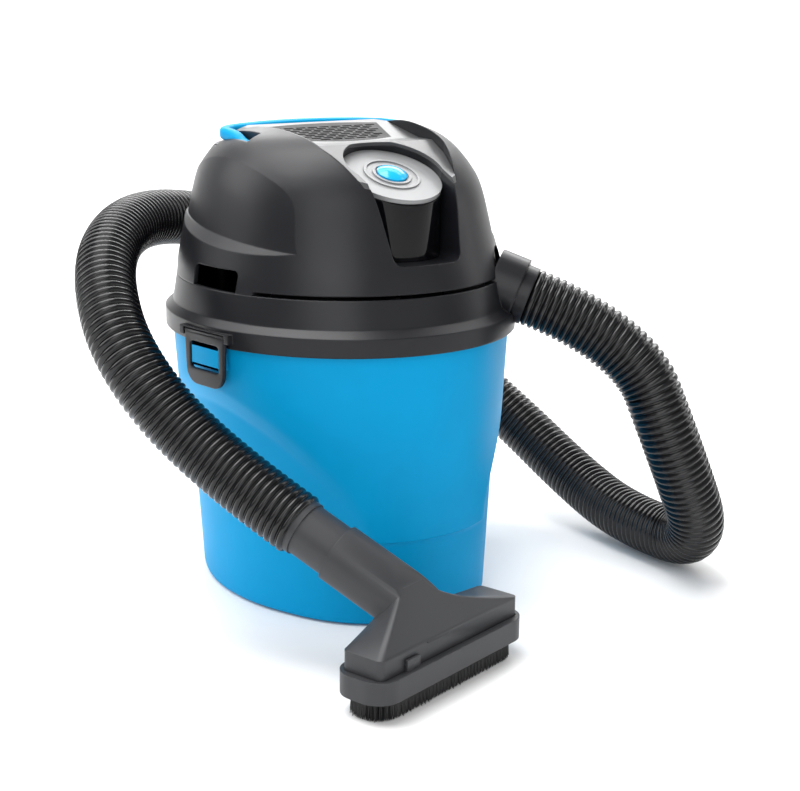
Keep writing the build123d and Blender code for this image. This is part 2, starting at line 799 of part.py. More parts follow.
boss_top = housing_top + bearing_height
housing = bar(fan_flange_radius, housing_bottom, housing_flange_top, housing_bore)
housing += bar(fan_housing_radius, housing_flange_top, housing_top, housing_bore)
housing += bar(fan_housing_radius, housing_top - fan_housing_wall, housing_top, shaft_hole_radius)
housing += bar(bearing_radius + bearing_boss_wall, housing_top, boss_top, bearing_radius)
outlet_z = housing_top - fan_housing_wall - fan_outlet_height
outlet = block((housing_bore - fan_housing_wall, -fan_outlet_width / 2, outlet_z),
               (fan_flange_radius, fan_outlet_width / 2, outlet_z + fan_outlet_height))
for i in range(fan_outlets):
    housing -= Pos(0, motor_y, 0) * Rot(0, 0, 360 / fan_outlets * i) * outlet
pieces["fan_housing"] = housing - motor_screw_holes(housing_bottom, housing_flange_top)

shaft_bore = shaft_radius + running_gap
impeller_bottom = housing_bottom + impeller_lift
impeller_top = impeller_bottom + impeller_height
impeller = bar(impeller_radius, impeller_top - impeller_plate, impeller_top)
impeller += bar(impeller_radius, impeller_bottom, impeller_bottom + impeller_plate, inlet_radius)
impeller += bar(impeller_hub_radius, impeller_bottom, impeller_top)
blade_length = impeller_radius - impeller_hub_radius
blade = Rot(0, 0, blade_sweep) * block((0, -blade_thickness / 2, impeller_bottom),
                                       (blade_length, blade_thickness / 2, impeller_top))
blade = Pos(impeller_hub_radius - blade_thickness, 0, 0) * blade
for i in range(impeller_blades):
    impeller += Pos(0, motor_y, 0) * Rot(0, 0, 360 / impeller_blades * i) * blade
pieces["impeller"] = impeller - bar(shaft_bore, impeller_bottom, impeller_top)

shaft_bottom = impeller_bottom - nut_height
shaft_top = shaft_bottom + shaft_length
nut_plan = RegularPolygon(nut_across_flats / 2, 6, major_radius=False)
nut = Pos(0, motor_y, shaft_bottom) * extrude(nut_plan, nut_height)
pieces["impeller_nut"] = nut - bar(shaft_bore, shaft_bottom, impeller_bottom)
pieces["motor_shaft"] = bar(shaft_radius, shaft_bottom, shaft_top)
pieces["lower_bearing"] = bar(bearing_radius - running_gap, housing_top, boss_top, shaft_bore)

stator_bottom = housing_top + stator_lift
stator_top = stator_bottom + stator_height
stator = bar(stator_radius, stator_bottom, stator_top, armature_radius + armature_gap)
stator &= block((-stator_flat, motor_y - stator_radius, stator_bottom),
                (stator_flat, motor_y + stator_radius, stator_top))
pieces["stator"] = stator
lower_winding = bar(winding_outer_radius, stator_bottom - winding_height, stator_bottom, winding_inner_radius)
upper_winding = bar(winding_outer_radius, stator_top, stator_top + winding_height, winding_inner_radius)
pieces["field_windings"] = Compound([lower_winding, upper_winding])

armature = bar(armature_radius, stator_bottom, stator_top)
armature_slot = bar(armature_slot_radius, stator_bottom, stator_top, x=armature_radius, y=0)
for i in range(armature_slots):
    armature -= Pos(0, motor_y, 0) * Rot(0, 0, 360 / armature_slots * i) * armature_slot
armature += bar(end_winding_radius, stator_bottom - winding_height, stator_top + winding_height)
pieces["armature"] = armature - bar(shaft_bore, stator_bottom - winding_height, stator_top + winding_height)
commutator_bottom = stator_top + winding_height + commutator_gap
commutator_top = commutator_bottom + commutator_height
pieces["commutator"] = bar(commutator_radius, commutator_bottom, commutator_top, shaft_bore)

carbon_z = commutator_bottom + commutator_height / 2
carbon_start = commutator_radius + carbon_gap
carbon = block((-carbon_width / 2, motor_y + carbon_start, carbon_z - carbon_height / 2),
               (carbon_width / 2, motor_y + carbon_start + carbon_length, carbon_z + carbon_height / 2))
holder_start = carbon_start + holder_wall
holder = block((-carbon_width / 2 - holder_wall, motor_y + holder_start, commutator_bottom),
               (carbon_width / 2 + holder_wall, motor_y + holder_start + holder_length, commutator_top))
holder -= block((-carbon_width / 2 - running_gap, motor_y, carbon_z - carbon_height / 2 - running_gap),
                (carbon_width / 2 + running_gap, beyond, carbon_z + carbon_height / 2 + running_gap))
motor_turns = [Pos(0, motor_y, 0) * Rot(0, 0, turn) * Pos(0, -motor_y, 0) for turn in (0, 180)]
pieces["carbon_brushes"] = Compound([turn * carbon for turn in motor_turns])
pieces["brush_holders"] = Compound([turn * holder for turn in motor_turns])

plate_bottom = commutator_top
plate_top = plate_bottom + bracket_plate_thickness
bearing_top = plate_top + upper_bearing_height
bracket_leg = block((stator_flat, motor_y - bracket_leg_width / 2, housing_top),
                    (stator_flat + bracket_leg_thickness, motor_y + bracket_leg_width / 2, plate_top))
bracket = bar(bracket_plate_radius, plate_bottom, plate_top)
bracket += block((-stator_flat, motor_y - bracket_leg_width / 2, plate_bottom),
                 (stator_flat, motor_y + bracket_leg_width / 2, plate_top))
for leg in both_sides(bracket_leg):
    bracket += leg
bracket -= bar(shaft_hole_radius, plate_bottom, plate_top)
bracket += bar(upper_bearing_radius + bearing_boss_wall, plate_top, bearing_top, upper_bearing_radius)
pieces["motor_bracket"] = bracket
pieces["upper_bearing"] = bar(upper_bearing_radius - running_gap, plate_top, bearing_top, shaft_bore)

fan_bottom = bearing_top + cooling_fan_gap
fan_top = fan_bottom + cooling_fan_height
cooling_fan = bar(cooling_fan_radius, fan_bottom, fan_bottom + cooling_fan_plate)
cooling_fan += bar(cooling_fan_hub_radius, fan_bottom, fan_top)
fan_blade = block((0, -blade_thickness / 2, fan_bottom),
                  (cooling_fan_radius - blade_thickness, blade_thickness / 2, fan_top))
for i in range(cooling_blades):
    cooling_fan += Pos(0, motor_y, 0) * Rot(0, 0, 360 / cooling_blades * i) * fan_blade
pieces["cooling_fan"] = cooling_fan - bar(shaft_bore, fan_bottom, fan_top)

# Float cage, float ball and foam filter, hung under the deck.
cage_top = deck_bottom - cage_flange_thickness
cage_bottom = cage_top - cage_length
cage_floor_top = cage_bottom + cage_floor
cage = bar(fan_flange_radius, cage_top, deck_bottom, float_seat_radius)
cage += bar(cage_radius, cage_bottom, cage_top, cage_radius - cage_wall)
cage += bar(cage_radius, cage_bottom, cage_floor_top, cage_drain_radius)
cage_slot = block((cage_radius - 2 * cage_wall, -cage_slot_width / 2, cage_floor_top + cage_slot_margin),
                  (cage_radius + cage_wall, cage_slot_width / 2, cage_top - cage_slot_margin))
for i in range(cage_slots):
    cage -= Pos(0, motor_y, 0) * Rot(0, 0, 360 / cage_slots * i) * cage_slot
pieces["float_cage"] = cage - motor_screw_holes(cage_top, deck_bottom)
float_rest = math.sqrt((float_radius + soft_gap) ** 2 - cage_drain_radius ** 2)
pieces["float_ball"] = Pos(0, motor_y, cage_floor_top + float_rest) * Sphere(float_radius)
foam_radius = cage_radius + soft_gap + foam_thickness
foam_top = cage_top - soft_gap
pieces["foam_filter"] = bar(foam_radius, cage_bottom, foam_top, cage_radius + soft_gap)
ring_bore = foam_radius + soft_gap
ring_top = foam_top - filter_ring_drop
pieces["filter_ring"] = bar(ring_bore + filter_ring_wall, ring_top - filter_ring_height, ring_top, ring_bore)

# Inlet elbow: a hood on the deck that turns the hose's air down into the tub.
elbow_top = deck_top + elbow_height
elbow = elbow_plane * block((elbow_inner_reach, -elbow_half_width, deck_top),
                            (elbow_outer_reach, elbow_half_width, elbow_top))
elbow -= elbow_plane * block((elbow_inner_reach + elbow_wall, -elbow_duct_half, deck_top),
                             (elbow_outer_reach, elbow_duct_half, elbow_top - elbow_wall))
pieces["inlet_elbow"] = elbow

# Cord gland in the back of the head.
gland_flange_line = Pos(0, gland_flange_y + gland_flange_thickness / 2, gland_z) * Rot(90, 0, 0)
gland = gland_line * Cylinder(gland_neck_radius, gland_neck_length)
gland += gland_flange_line * Cylinder(gland_flange_radius, gland_flange_thickness)
gland -= gland_line * Cylinder(gland_bore_radius, 4 * gland_neck_length)
pieces["cord_gland"] = gland


# A screw with its head under a face and its shank above it.
def screw(x, y, face_z, length):
    head = bar(screw_head_radius, face_z - screw_head_height, face_z, x=x, y=y)
    return head + bar(screw_radius, face_z, face_z + length, x=x, y=y)


motor_screw_length = housing_flange_top - cage_top
pieces["head_screws"] = Compound([screw(x, y, deck_bottom, head_screw_length) for x, y in post_places])
pieces["motor_screws"] = Compound([screw(x, y, cage_top, motor_screw_length) for x, y in motor_screw_places])

# Hose cuff at the machine: a collar in the port and a spigot inside it.
machine_cuff = plane_bar(port_plane, cuff_radius, -cuff_seat + cuff_gap, cuff_visible)
machine_cuff += plane_bar(port_plane, spigot_radius, -spigot_depth, 0)
machine_cuff -= plane_bar(port_plane, cuff_bore_radius, -spigot_depth, cuff_visible)
pieces["hose_cuff_machine"] = machine_cuff

# Hose: a ribbed tube along straight runs joined by large arcs, from the port round the back to the nozzle.
end_turn = math.radians(hose_end_bearing)
end_dip = math.radians(hose_end_dip)
end_level = math.cos(end_dip)
end_axis = Vector(math.cos(end_turn) * end_level, math.sin(end_turn) * end_level, -math.sin(end_dip))
hose_start = port_mouth + port_axis * cuff_visible
hose_points = [
    hose_start,
    hose_start + port_axis * hose_first_run,
    Vector(164, -164, 106),
    Vector(207, -160, 22),
    Vector(206, -76, 20.4),
    Vector(207, -14, 36),
    Vector(190, 52, 78),
    Vector(140, 122, 142),
    Vector(66, 158, 196),
    Vector(-8, 152, 232),
    Vector(-76, 128, 246),
    Vector(-128, 84, 243),
    Vector(-162, 34, 222),
    Vector(-174, -22, 180),
    hose_end - end_axis * hose_last_run,
    hose_end,
]
hose_radii = []
for before, corner, after in zip(hose_points, hose_points[1:], hose_points[2:]):
    first = corner - before
    second = after - corner
    half_turn = math.radians(first.get_angle(second)) / 2
    hose_radii.append(hose_bend_share * min(first.length, second.length) / math.tan(half_turn))
hose_line = FilletPolyline(*hose_points, radius=hose_radii)
print("hose length", round(hose_line.length, 1), "radii", [round(radius) for radius in hose_radii])

rib_pitch = hose_line.length / hose_ribs
rib_profile = [(0, hose_valley_radius), (0.2, hose_radius), (0.6, hose_radius), (0.8, hose_valley_radius)]
stations = [((rib + share) * rib_pitch, radius) for rib in range(hose_ribs) for share, radius in rib_profile]
stations.append((hose_line.length, hose_valley_radius))
hose_rings = []
hose_side = Vector(0, 0, 1)
for distance, radius in stations:
    along = hose_line.tangent_at(distance, position_mode=PositionMode.LENGTH)
    place = hose_line.position_at(distance, position_mode=PositionMode.LENGTH)
    hose_side = (hose_side - along * hose_side.dot(along)).normalized()
    hose_rings.append(Plane(place, x_dir=hose_side, z_dir=along) * Circle(radius))
bore_start = Plane(hose_start, z_dir=port_axis) * Circle(hose_bore_radius)
hose_bore = sweep(bore_start, path=hose_line)
pieces["hose"] = loft(hose_rings, ruled=True) - hose_bore

# Hose cuff at the tool: a smooth grey tube that the nozzle turns on.
tool_line = Plane(hose_end, x_dir=(0, 0, 1), z_dir=end_axis)
tool_cuff = plane_bar(tool_line, tool_cuff_radius, 0, tool_cuff_length)
tool_cuff += plane_bar(tool_line, hose_valley_radius, 0, tool_cuff_collar)
tool_cuff -= plane_bar(tool_line, cuff_bore_radius, 0, tool_cuff_length)
pieces["hose_cuff_tool"] = tool_cuff

# Nozzle: a round socket that widens into a flat mouth. Its plane has x along the mouth and z up.
mouth_turn = math.radians(tool_turn)
mouth_heading = (math.cos(mouth_turn), math.sin(mouth_turn), 0)
tool_plane = Plane((tool_x, tool_y, 0), x_dir=mouth_heading, z_dir=(0, 0, 1))
mouth_top = mouth_bottom + mouth_height
neck_middle = tool_plane.to_local_coords(hose_end + end_axis * tool_socket_end)
neck_axis = (tool_plane.to_local_coords(hose_end) - neck_middle).normalized()
waist_slope = math.radians(waist_lean)
waist_normal = Vector(0, math.sin(waist_slope), math.cos(waist_slope))
waist_middle = Vector(neck_middle.X / 2, waist_back, mouth_top + waist_rise)


def tool_section(middle, normal, length, width, corner):
    side = (Vector(1, 0, 0) - normal * normal.X).normalized()
    place = tool_plane * Plane(middle, x_dir=side, z_dir=normal).location
    return place * RectangleRounded(length, width, corner)


def nozzle_form(inset):
    length = mouth_length - 2 * inset
    width = mouth_width - 2 * inset
    mouth = RectangleRounded(length, width, mouth_corner - inset)
    box = extrude(tool_plane * Pos(0, 0, mouth_bottom) * mouth, mouth_height)
    neck_inside = neck_width - 2 * inset
    waist_inside = (waist_length - 2 * inset, waist_width - 2 * inset, waist_corner - inset)
    sections = [
        tool_section(Vector(0, 0, mouth_top), Vector(0, 0, 1), length, width, mouth_corner - inset),
        tool_section(waist_middle, waist_normal, *waist_inside),
        tool_section(neck_middle, neck_axis, neck_inside, neck_inside, neck_corner - inset),
    ]
    return box + loft(sections, ruled=True)


socket_bore = tool_cuff_radius + running_gap
tool_socket = plane_bar(tool_line, socket_bore + tool_socket_wall, tool_socket_start, tool_socket_end)
nozzle = nozzle_form(0) + tool_socket
nozzle -= nozzle_form(nozzle_wall)
nozzle -= plane_bar(tool_line, socket_bore, tool_socket_start, tool_socket_end)
pieces["nozzle"] = nozzle

# Brush frame: it slips over the mouth, is held by two clips, and has a groove for the bristles' backing.
frame_length = mouth_length + 2 * frame_rim
frame_width = mouth_width + 2 * frame_rim
frame_top = mouth_bottom + frame_overlap
backing_top = frame_bottom + backing_thickness


def frame_prism(length, width, corner, bottom, top):
    return extrude(tool_plane * Pos(0, 0, bottom) * RectangleRounded(length, width, corner), top - bottom)


# The oval track that a row of bristles follows, stepped inwards from the outer row.
def bristle_track(step):
    length = frame_length - 2 * bristle_margin - 2 * step
    width = frame_width - 2 * bristle_margin - 2 * step
    return SlotOverall(length, width)


def backing_ring(grow):
    outer_step = -backing_margin - grow
    inner_step = (bristle_rows - 1) * bristle_row_step + backing_margin + grow
    ring = bristle_track(outer_step) - bristle_track(inner_step)
    return extrude(tool_plane * Pos(0, 0, frame_bottom) * ring, backing_thickness)


frame = frame_prism(frame_length, frame_width, frame_corner, frame_bottom, frame_top)
frame_well = frame_prism(mouth_length + 2 * frame_gap, mouth_width + 2 * frame_gap, mouth_corner,
                         mouth_bottom, frame_top)
frame -= frame_well
frame_slot_length = frame_length - frame_width + frame_slot_width
frame_slot = tool_plane * Pos(0, 0, frame_bottom) * SlotOverall(frame_slot_length, frame_slot_width)
frame -= extrude(frame_slot, mouth_height)
frame -= backing_ring(fit_gap)
clip_inner = mouth_width / 2 + frame_gap
clip = block((clip_offset - clip_width / 2, clip_inner, mouth_bottom),
             (clip_offset + clip_width / 2, clip_inner + clip_thickness, frame_top + clip_rise))
for turn in (0, 180):
    frame += tool_plane * Rot(0, 0, turn) * clip
pieces["brush_frame"] = frame

# Bristles: rows of strands round the mouth, on a slice of their backing.
strands = []
strand_height = backing_top - floor_gap
for row in range(bristle_rows):
    track = bristle_track(row * bristle_row_step).wire()
    count = int(track.length // bristle_pitch)
    for i in range(count):
        foot_place = track.position_at(i / count)
        heading = track.tangent_at(i / count)
        strand_turn = math.degrees(math.atan2(heading.Y, heading.X))
        strand = Rot(0, 0, strand_turn) * Box(bristle_side, bristle_side, strand_height)
        strands.append(tool_plane * Pos(foot_place.X, foot_place.Y, floor_gap + strand_height / 2) * strand)
pieces["bristles"] = backing_ring(0) + strands
print("strands", len(strands))

os.makedirs("parts", exist_ok=True)
for name, solid in pieces.items():
    export_step(solid, "parts/" + name + ".step")
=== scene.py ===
import math
import random

import bpy
from mathutils import Matrix, Vector


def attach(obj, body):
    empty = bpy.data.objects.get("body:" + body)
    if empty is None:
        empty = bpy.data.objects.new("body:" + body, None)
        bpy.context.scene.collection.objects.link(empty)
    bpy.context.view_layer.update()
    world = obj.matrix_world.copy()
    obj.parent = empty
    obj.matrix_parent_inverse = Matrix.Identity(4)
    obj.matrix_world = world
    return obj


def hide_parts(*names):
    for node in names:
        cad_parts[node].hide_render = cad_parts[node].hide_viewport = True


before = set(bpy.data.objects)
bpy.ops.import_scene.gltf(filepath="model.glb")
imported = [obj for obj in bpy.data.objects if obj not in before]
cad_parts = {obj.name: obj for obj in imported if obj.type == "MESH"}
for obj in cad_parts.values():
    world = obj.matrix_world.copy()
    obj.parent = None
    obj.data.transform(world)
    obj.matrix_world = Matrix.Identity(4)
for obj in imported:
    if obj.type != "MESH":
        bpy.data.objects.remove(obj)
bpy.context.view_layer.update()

bpy.ops.object.select_all(action="DESELECT")

# Camera: it stands before the left side, a little above the head, as the photograph's camera did.
# The lens is a long one, so the tub's and the head's ovals stay flat.
camera_place = Vector((-0.5810, -0.92579, 0.41007))
camera_right = Vector((0.82707, -0.56204, 0.00768))
camera_up = Vector((0.13432, 0.21089, 0.96824))
camera_data = bpy.data.cameras.new("camera")
camera_data.lens = 72.23
camera_data.sensor_width = 36
camera_data.sensor_fit = "HORIZONTAL"
camera = bpy.data.objects.new("camera", camera_data)
bpy.context.scene.collection.objects.link(camera)
camera_turn = Matrix((camera_right, camera_up, camera_right.cross(camera_up))).transposed()
camera.matrix_world = Matrix.Translation(camera_place) @ camera_turn.to_4x4()
bpy.context.scene.camera = camera

# Hose: extruded black plastic with round ribs, pushed over the cuffs at its two ends. Its line is the route
# that the hose takes from the port, down to the floor, round the back and over to the nozzle.
hose_route = [
    (0.092997, -0.092997, 0.204264), (0.142167, -0.142167, 0.178954), (0.164, -0.164, 0.106),
    (0.207, -0.160, 0.022), (0.206, -0.076, 0.0204), (0.207, -0.014, 0.036), (0.190, 0.052, 0.078),
    (0.140, 0.122, 0.142), (0.066, 0.158, 0.196), (-0.008, 0.152, 0.232), (-0.076, 0.128, 0.246),
    (-0.128, 0.084, 0.243), (-0.162, 0.034, 0.222), (-0.174, -0.022, 0.180),
    (-0.143749, -0.067312, 0.124411), (-0.109, -0.1275, 0.089),
]
hose_smoothness = 40


# The points along a smooth line that is drawn by its corner points.
def line_through(name, corners, smoothness):
    curve = bpy.data.curves.new(name, "CURVE")
    curve.dimensions = "3D"
    spline = curve.splines.new("NURBS")
    spline.points.add(len(corners) - 1)
    for point, place in zip(spline.points, corners):
        point.co = (*place, 1)
    spline.order_u = 3
    spline.use_endpoint_u = True
    spline.resolution_u = smoothness
    guide = bpy.data.objects.new(name, curve)
    bpy.context.scene.collection.objects.link(guide)
    guide_mesh = bpy.data.meshes.new_from_object(guide)
    line = [vertex.co.copy() for vertex in guide_mesh.vertices]
    bpy.data.objects.remove(guide)
    bpy.data.meshes.remove(guide_mesh)
    return line


hose_line = line_through("hose_line", hose_route, hose_smoothness)
hose_lengths = [0.0]
for before, after in zip(hose_line, hose_line[1:]):
    hose_lengths.append(hose_lengths[-1] + (after - before).length)
hose_length = hose_lengths[-1]


# The place and the heading at one length along the hose.
def along_hose(distance):
    for i in range(len(hose_line) - 2):
        if hose_lengths[i + 1] >= distance:
            break
    step = hose_line[i + 1] - hose_line[i]
    share = (distance - hose_lengths[i]) / (hose_lengths[i + 1] - hose_lengths[i])
    return hose_line[i] + step * share, step.normalized()


# Skins rings of points with four-sided faces, from each ring to the next, and makes the normals agree.
def skin_rings(name, rings, joined):
    sides = len(rings[0])
    points = [point for ring in rings for point in ring]
    faces = []
    for ring in range(len(rings) if joined else len(rings) - 1):
        low = ring * sides
        high = (ring + 1) % len(rings) * sides
        for i in range(sides):
            j = (i + 1) % sides
            faces.append((low + i, low + j, high + j, high + i))
    mesh = bpy.data.meshes.new(name)
    mesh.from_pydata(points, [], faces)
    piece = bpy.data.objects.new(name, mesh)
    bpy.context.scene.collection.objects.link(piece)
    bpy.ops.object.select_all(action="DESELECT")
    piece.select_set(True)
    bpy.context.view_layer.objects.active = piece
    bpy.ops.object.mode_set(mode="EDIT")
    bpy.ops.mesh.select_all(action="SELECT")
    bpy.ops.mesh.normals_make_consistent(inside=False)
    bpy.ops.object.mode_set(mode="OBJECT")
    return piece


hose_sides = 40
hose_ribs = 240
hose_crest = 0.0200
hose_valley = 0.0182
hose_bore = 0.0160
ribs_per_bore_ring = 2
rib_shape = [
    (0.00, 0.00), (0.14, 0.00), (0.20, 0.45), (0.34, 0.86),
    (0.55, 1.00), (0.76, 0.86), (0.90, 0.45), (0.96, 0.00),
]
rib_step = hose_length / hose_ribs
hose_stations = [(0, hose_bore)]
for rib in range(hose_ribs):
    for share, rise in rib_shape:
        hose_stations.append(((rib + share) * rib_step, hose_valley + (hose_crest - hose_valley) * rise))
hose_stations.append((hose_length, hose_valley))
hose_stations += [(rib * rib_step, hose_bore) for rib in range(hose_ribs, 0, -ribs_per_bore_ring)]
hose_turns = [2 * math.pi * i / hose_sides for i in range(hose_sides)]
hose_rings = []
hose_side = Vector((0, 0, 1))
for distance, radius in hose_stations:
    place, heading = along_hose(distance)
    hose_side = (hose_side - heading * hose_side.dot(heading)).normalized()
    other_side = heading.cross(hose_side)
    ring = []
    for turn in hose_turns:
        ring.append(place + (hose_side * math.cos(turn) + other_side * math.sin(turn)) * radius)
    hose_rings.append(ring)
hose = skin_rings("hose_ribbed", hose_rings, True)
bpy.ops.object.shade_smooth()


# Moulded plastic: a base colour with faint broad mottling, a fine spark-eroded grain and round edges.
def moulded_plastic(name, colour, roughness, grain_size, grain_depth, edge_radius, mottling=0.06, shine=0.5):
    material = bpy.data.materials.new(name)
    material.use_nodes = True
    nodes = material.node_tree.nodes
    links = material.node_tree.links
    shader = nodes["Principled BSDF"]
    shader.inputs["Specular IOR Level"].default_value = shine
    place = nodes.new("ShaderNodeTexCoord")
    broad = nodes.new("ShaderNodeTexNoise")
    broad.inputs["Scale"].default_value = 26
    broad.inputs["Detail"].default_value = 3
    links.new(place.outputs["Object"], broad.inputs["Vector"])
    tone = nodes.new("ShaderNodeValToRGB")
    tone.color_ramp.elements[0].position = 0.3
    tone.color_ramp.elements[0].color = [value * (1 - mottling) for value in colour] + [1]
    tone.color_ramp.elements[1].position = 0.7
    tone.color_ramp.elements[1].color = [value * (1 + mottling) for value in colour] + [1]
    links.new(broad.outputs["Fac"], tone.inputs["Fac"])
    links.new(tone.outputs["Color"], shader.inputs["Base Color"])
    grain = nodes.new("ShaderNodeTexNoise")
    grain.inputs["Scale"].default_value = 1 / grain_size
    grain.inputs["Detail"].default_value = 2
    links.new(place.outputs["Object"], grain.inputs["Vector"])
    gloss = nodes.new("ShaderNodeMapRange")
    gloss.inputs["From Min"].default_value = 0.3
    gloss.inputs["From Max"].default_value = 0.7
    gloss.inputs["To Min"].default_value = roughness - 0.04
    gloss.inputs["To Max"].default_value = roughness + 0.04
    links.new(broad.outputs["Fac"], gloss.inputs["Value"])
    links.new(gloss.outputs["Result"], shader.inputs["Roughness"])
    bump = nodes.new("ShaderNodeBump")
    bump.inputs["Strength"].default_value = 0.35
    bump.inputs["Distance"].default_value = grain_depth
    links.new(grain.outputs["Fac"], bump.inputs["Height"])
    links.new(bump.outputs["Normal"], shader.inputs["Normal"])
    if edge_radius:
        edge = nodes.new("ShaderNodeBevel")
        edge.samples = 4
        edge.inputs["Radius"].default_value = edge_radius
        links.new(edge.outputs["Normal"], bump.inputs["Normal"])
    return material


hose_black = moulded_plastic(
    "hose_black", (0.0030, 0.0030, 0.0038), roughness=0.22, grain_size=0.0012, grain_depth=0.00002,
    edge_radius=0, shine=0.38,
)
hose.data.materials.append(hose_black)
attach(hose, "head")
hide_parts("hose")

# Tub: blue polypropylene, moulded in one piece with its catches. The upper skin stands proud of the foot,
# and its lower edge rises in a sloping arch on each side.
blue_plastic = moulded_plastic(
    "blue_plastic", (0.0, 0.287, 0.575), roughness=0.46, grain_size=0.0007, grain_depth=0.00002,
    edge_radius=0.0008, mottling=0.03, shine=0.08,
)
tub_sides = 192
tub_rows = 124
tub_height = 0.186
foot_half = (0.098, 0.120)
rim_half = (0.1135, 0.1215)
waist_height = 0.058
waist_depth = 0.003
arch_depth = 0.0065
foot_round = 0.004
arch_half_width = 0.108
arch_rise = 0.097
arch_band = 0.06
arch_band_widening = 0.15
waist_edge = (-0.0006, 0.0016)
tub_wall = 0.0025
close_by = 0.0001
bpy.ops.mesh.primitive_cylinder_add(
    vertices=tub_sides, radius=1, depth=1, end_fill_type="NOTHING", location=(0, 0, 0)
)
tub = bpy.context.object
tub.name = "tub_shell"


# Selects the edges or faces whose corners a test accepts, and stays in edit mode.
def pick(piece, kind, accepts):
    bpy.ops.object.mode_set(mode="EDIT")
    bpy.ops.mesh.select_mode(type=kind)
    bpy.ops.mesh.select_all(action="DESELECT")
    bpy.ops.object.mode_set(mode="OBJECT")
    points = piece.data.vertices
    for part in piece.data.edges if kind == "EDGE" else piece.data.polygons:
        part.select = accepts([points[i].co for i in part.vertices])
    bpy.ops.object.mode_set(mode="EDIT")


pick(tub, "EDGE", lambda ends: abs(ends[0].z - ends[1].z) > 0.5)
bpy.ops.mesh.subdivide(number_cuts=tub_rows - 1)
bpy.ops.object.mode_set(mode="OBJECT")


# Rises from 0 at the low value to 1 at the high one, with soft ends.
def smooth_step(low, high, value):
    share = min(max((value - low) / (high - low), 0), 1)
    return share * share * (3 - 2 * share)


# How far the foot's skin lies under the upper skin: a crisp waist in front and behind, and a sloping band
# round the arch at the sides, widest at its top.
def waist_recess(y, z):
    over = max(z - waist_height, 0) / arch_rise
    arch = math.hypot(y / arch_half_width, over)
    band = arch_band + arch_band_widening * min(over, 1) ** 2
    below = smooth_step(*waist_edge, waist_height - z)
    inside = min(max((1 - arch) / band, 0), 1)
    to_front = smooth_step(arch_half_width / 2, arch_half_width, abs(y))
    side_depth = arch_depth + (waist_depth - arch_depth) * to_front
    return max(waist_depth * below, side_depth * inside)


for vertex in tub.data.vertices:
    share = vertex.co.z + 0.5
    z = share * tub_height
    half_x = foot_half[0] + (rim_half[0] - foot_half[0]) * share
    half_y = foot_half[1] + (rim_half[1] - foot_half[1]) * share
    under = 1 - min(z / foot_round, 1)
    recess = waist_recess(vertex.co.y * half_y, z) + foot_round * (1 - math.sqrt(1 - under * under))
    vertex.co = (vertex.co.x * (half_x - recess), vertex.co.y * (half_y - recess), z)
pick(tub, "EDGE", lambda ends: max(end.z for end in ends) < close_by)
bpy.ops.mesh.edge_face_add()
bpy.ops.mesh.select_all(action="SELECT")
bpy.ops.mesh.normals_make_consistent(inside=False)
bpy.ops.object.mode_set(mode="OBJECT")
wall = tub.modifiers.new("wall", "SOLIDIFY")
wall.thickness = tub_wall
wall.offset = -1
bpy.ops.object.modifier_apply(modifier="wall")

# Catches: a rounded hook on each side of the tub, which stands in the latch's window. It is moulded with the
# tub, in the same blue.
latch_place = Vector((0.11619, -0.0220, 0))
latch_out = Vector((0.98649, -0.16382, 0))
latch_along = Vector((0.16382, 0.98649, 0))
latch_turn = Matrix((latch_along, Vector((0, 0, 1)), latch_out)).transposed().to_4x4()
catch_size = (0.0286, 0.0160, 0.0090)
catch_middle_z = 0.1749
catch_out = 0.0007
catch_round = 0.0022
catch_end_round = 0.0007


# The two long edges of a catch's front.
def catch_front(ends):
    return min(end.z for end in ends) > 0 and ends[0].y * ends[1].y > 0


# The edges round the front at the two ends of a catch.
def catch_ends(ends):
    return min(abs(end.x) for end in ends) > catch_size[0] / 2 - close_by and min(end.z for end in ends) > 0


for side in (1, -1):
    bpy.ops.object.select_all(action="DESELECT")
    bpy.ops.mesh.primitive_cube_add(size=1)
    catch = bpy.context.object
    catch.name = "catch"
    for vertex in catch.data.vertices:
        vertex.co = [vertex.co[i] * catch_size[i] for i in range(3)]
    pick(catch, "EDGE", catch_front)
    bpy.ops.mesh.bevel(offset=catch_round, segments=5)
    pick(catch, "EDGE", catch_ends)
    bpy.ops.mesh.bevel(offset=catch_end_round, segments=2)
    bpy.ops.object.mode_set(mode="OBJECT")
    stand = latch_place + latch_out * (catch_out - catch_size[2] / 2) + Vector((0, 0, catch_middle_z))
    catch.data.transform(Matrix.Translation(stand) @ latch_turn)
    if side < 0:
        catch.data.transform(Matrix.Scale(-1, 4, (1, 0, 0)))
        catch.data.flip_normals()
    tub.select_set(True)
    bpy.context.view_layer.objects.active = tub
    bpy.ops.object.join()
bpy.ops.object.shade_smooth_by_angle(angle=math.radians(32))
tub.data.materials.append(blue_plastic)
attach(tub, "base")
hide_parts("tub")

# Lid collar: satin black plastic, with a flange over the tub's rim and the hose port at the front right.
# A soft rubber ring under its deck seals it on the rim.
black_plastic = moulded_plastic(
    "black_plastic", (0.0065, 0.0068, 0.0090), roughness=0.36, grain_size=0.0006, grain_depth=0.00005,
    edge_radius=0.0014, shine=0.32,
)


# Gives CAD nodes one material.
def paint(names, material):
    for name in names:
        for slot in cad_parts[name].material_slots:
            slot.material = material


paint(["lid_collar", "hose_cuff_machine"], black_plastic)
seal_rubber = moulded_plastic(
    "seal_rubber", (0.02, 0.02, 0.02), roughness=0.7, grain_size=0.0008, grain_depth=0.00003,
    edge_radius=0.0004,
)
paint(["lid_seal"], seal_rubber)

# Latches: black moulded tongues with a window for the tub's catch and a round foot to pull. Each swings on a
# steel pin between two ears of the flange.
tongue_edge = 0.0006
tongue_thickness = 0.0028
tongue_middle = -0.0002
hinge_z = 0.1895
hinge_bore_radius = 0.00115
drill_length = 0.06


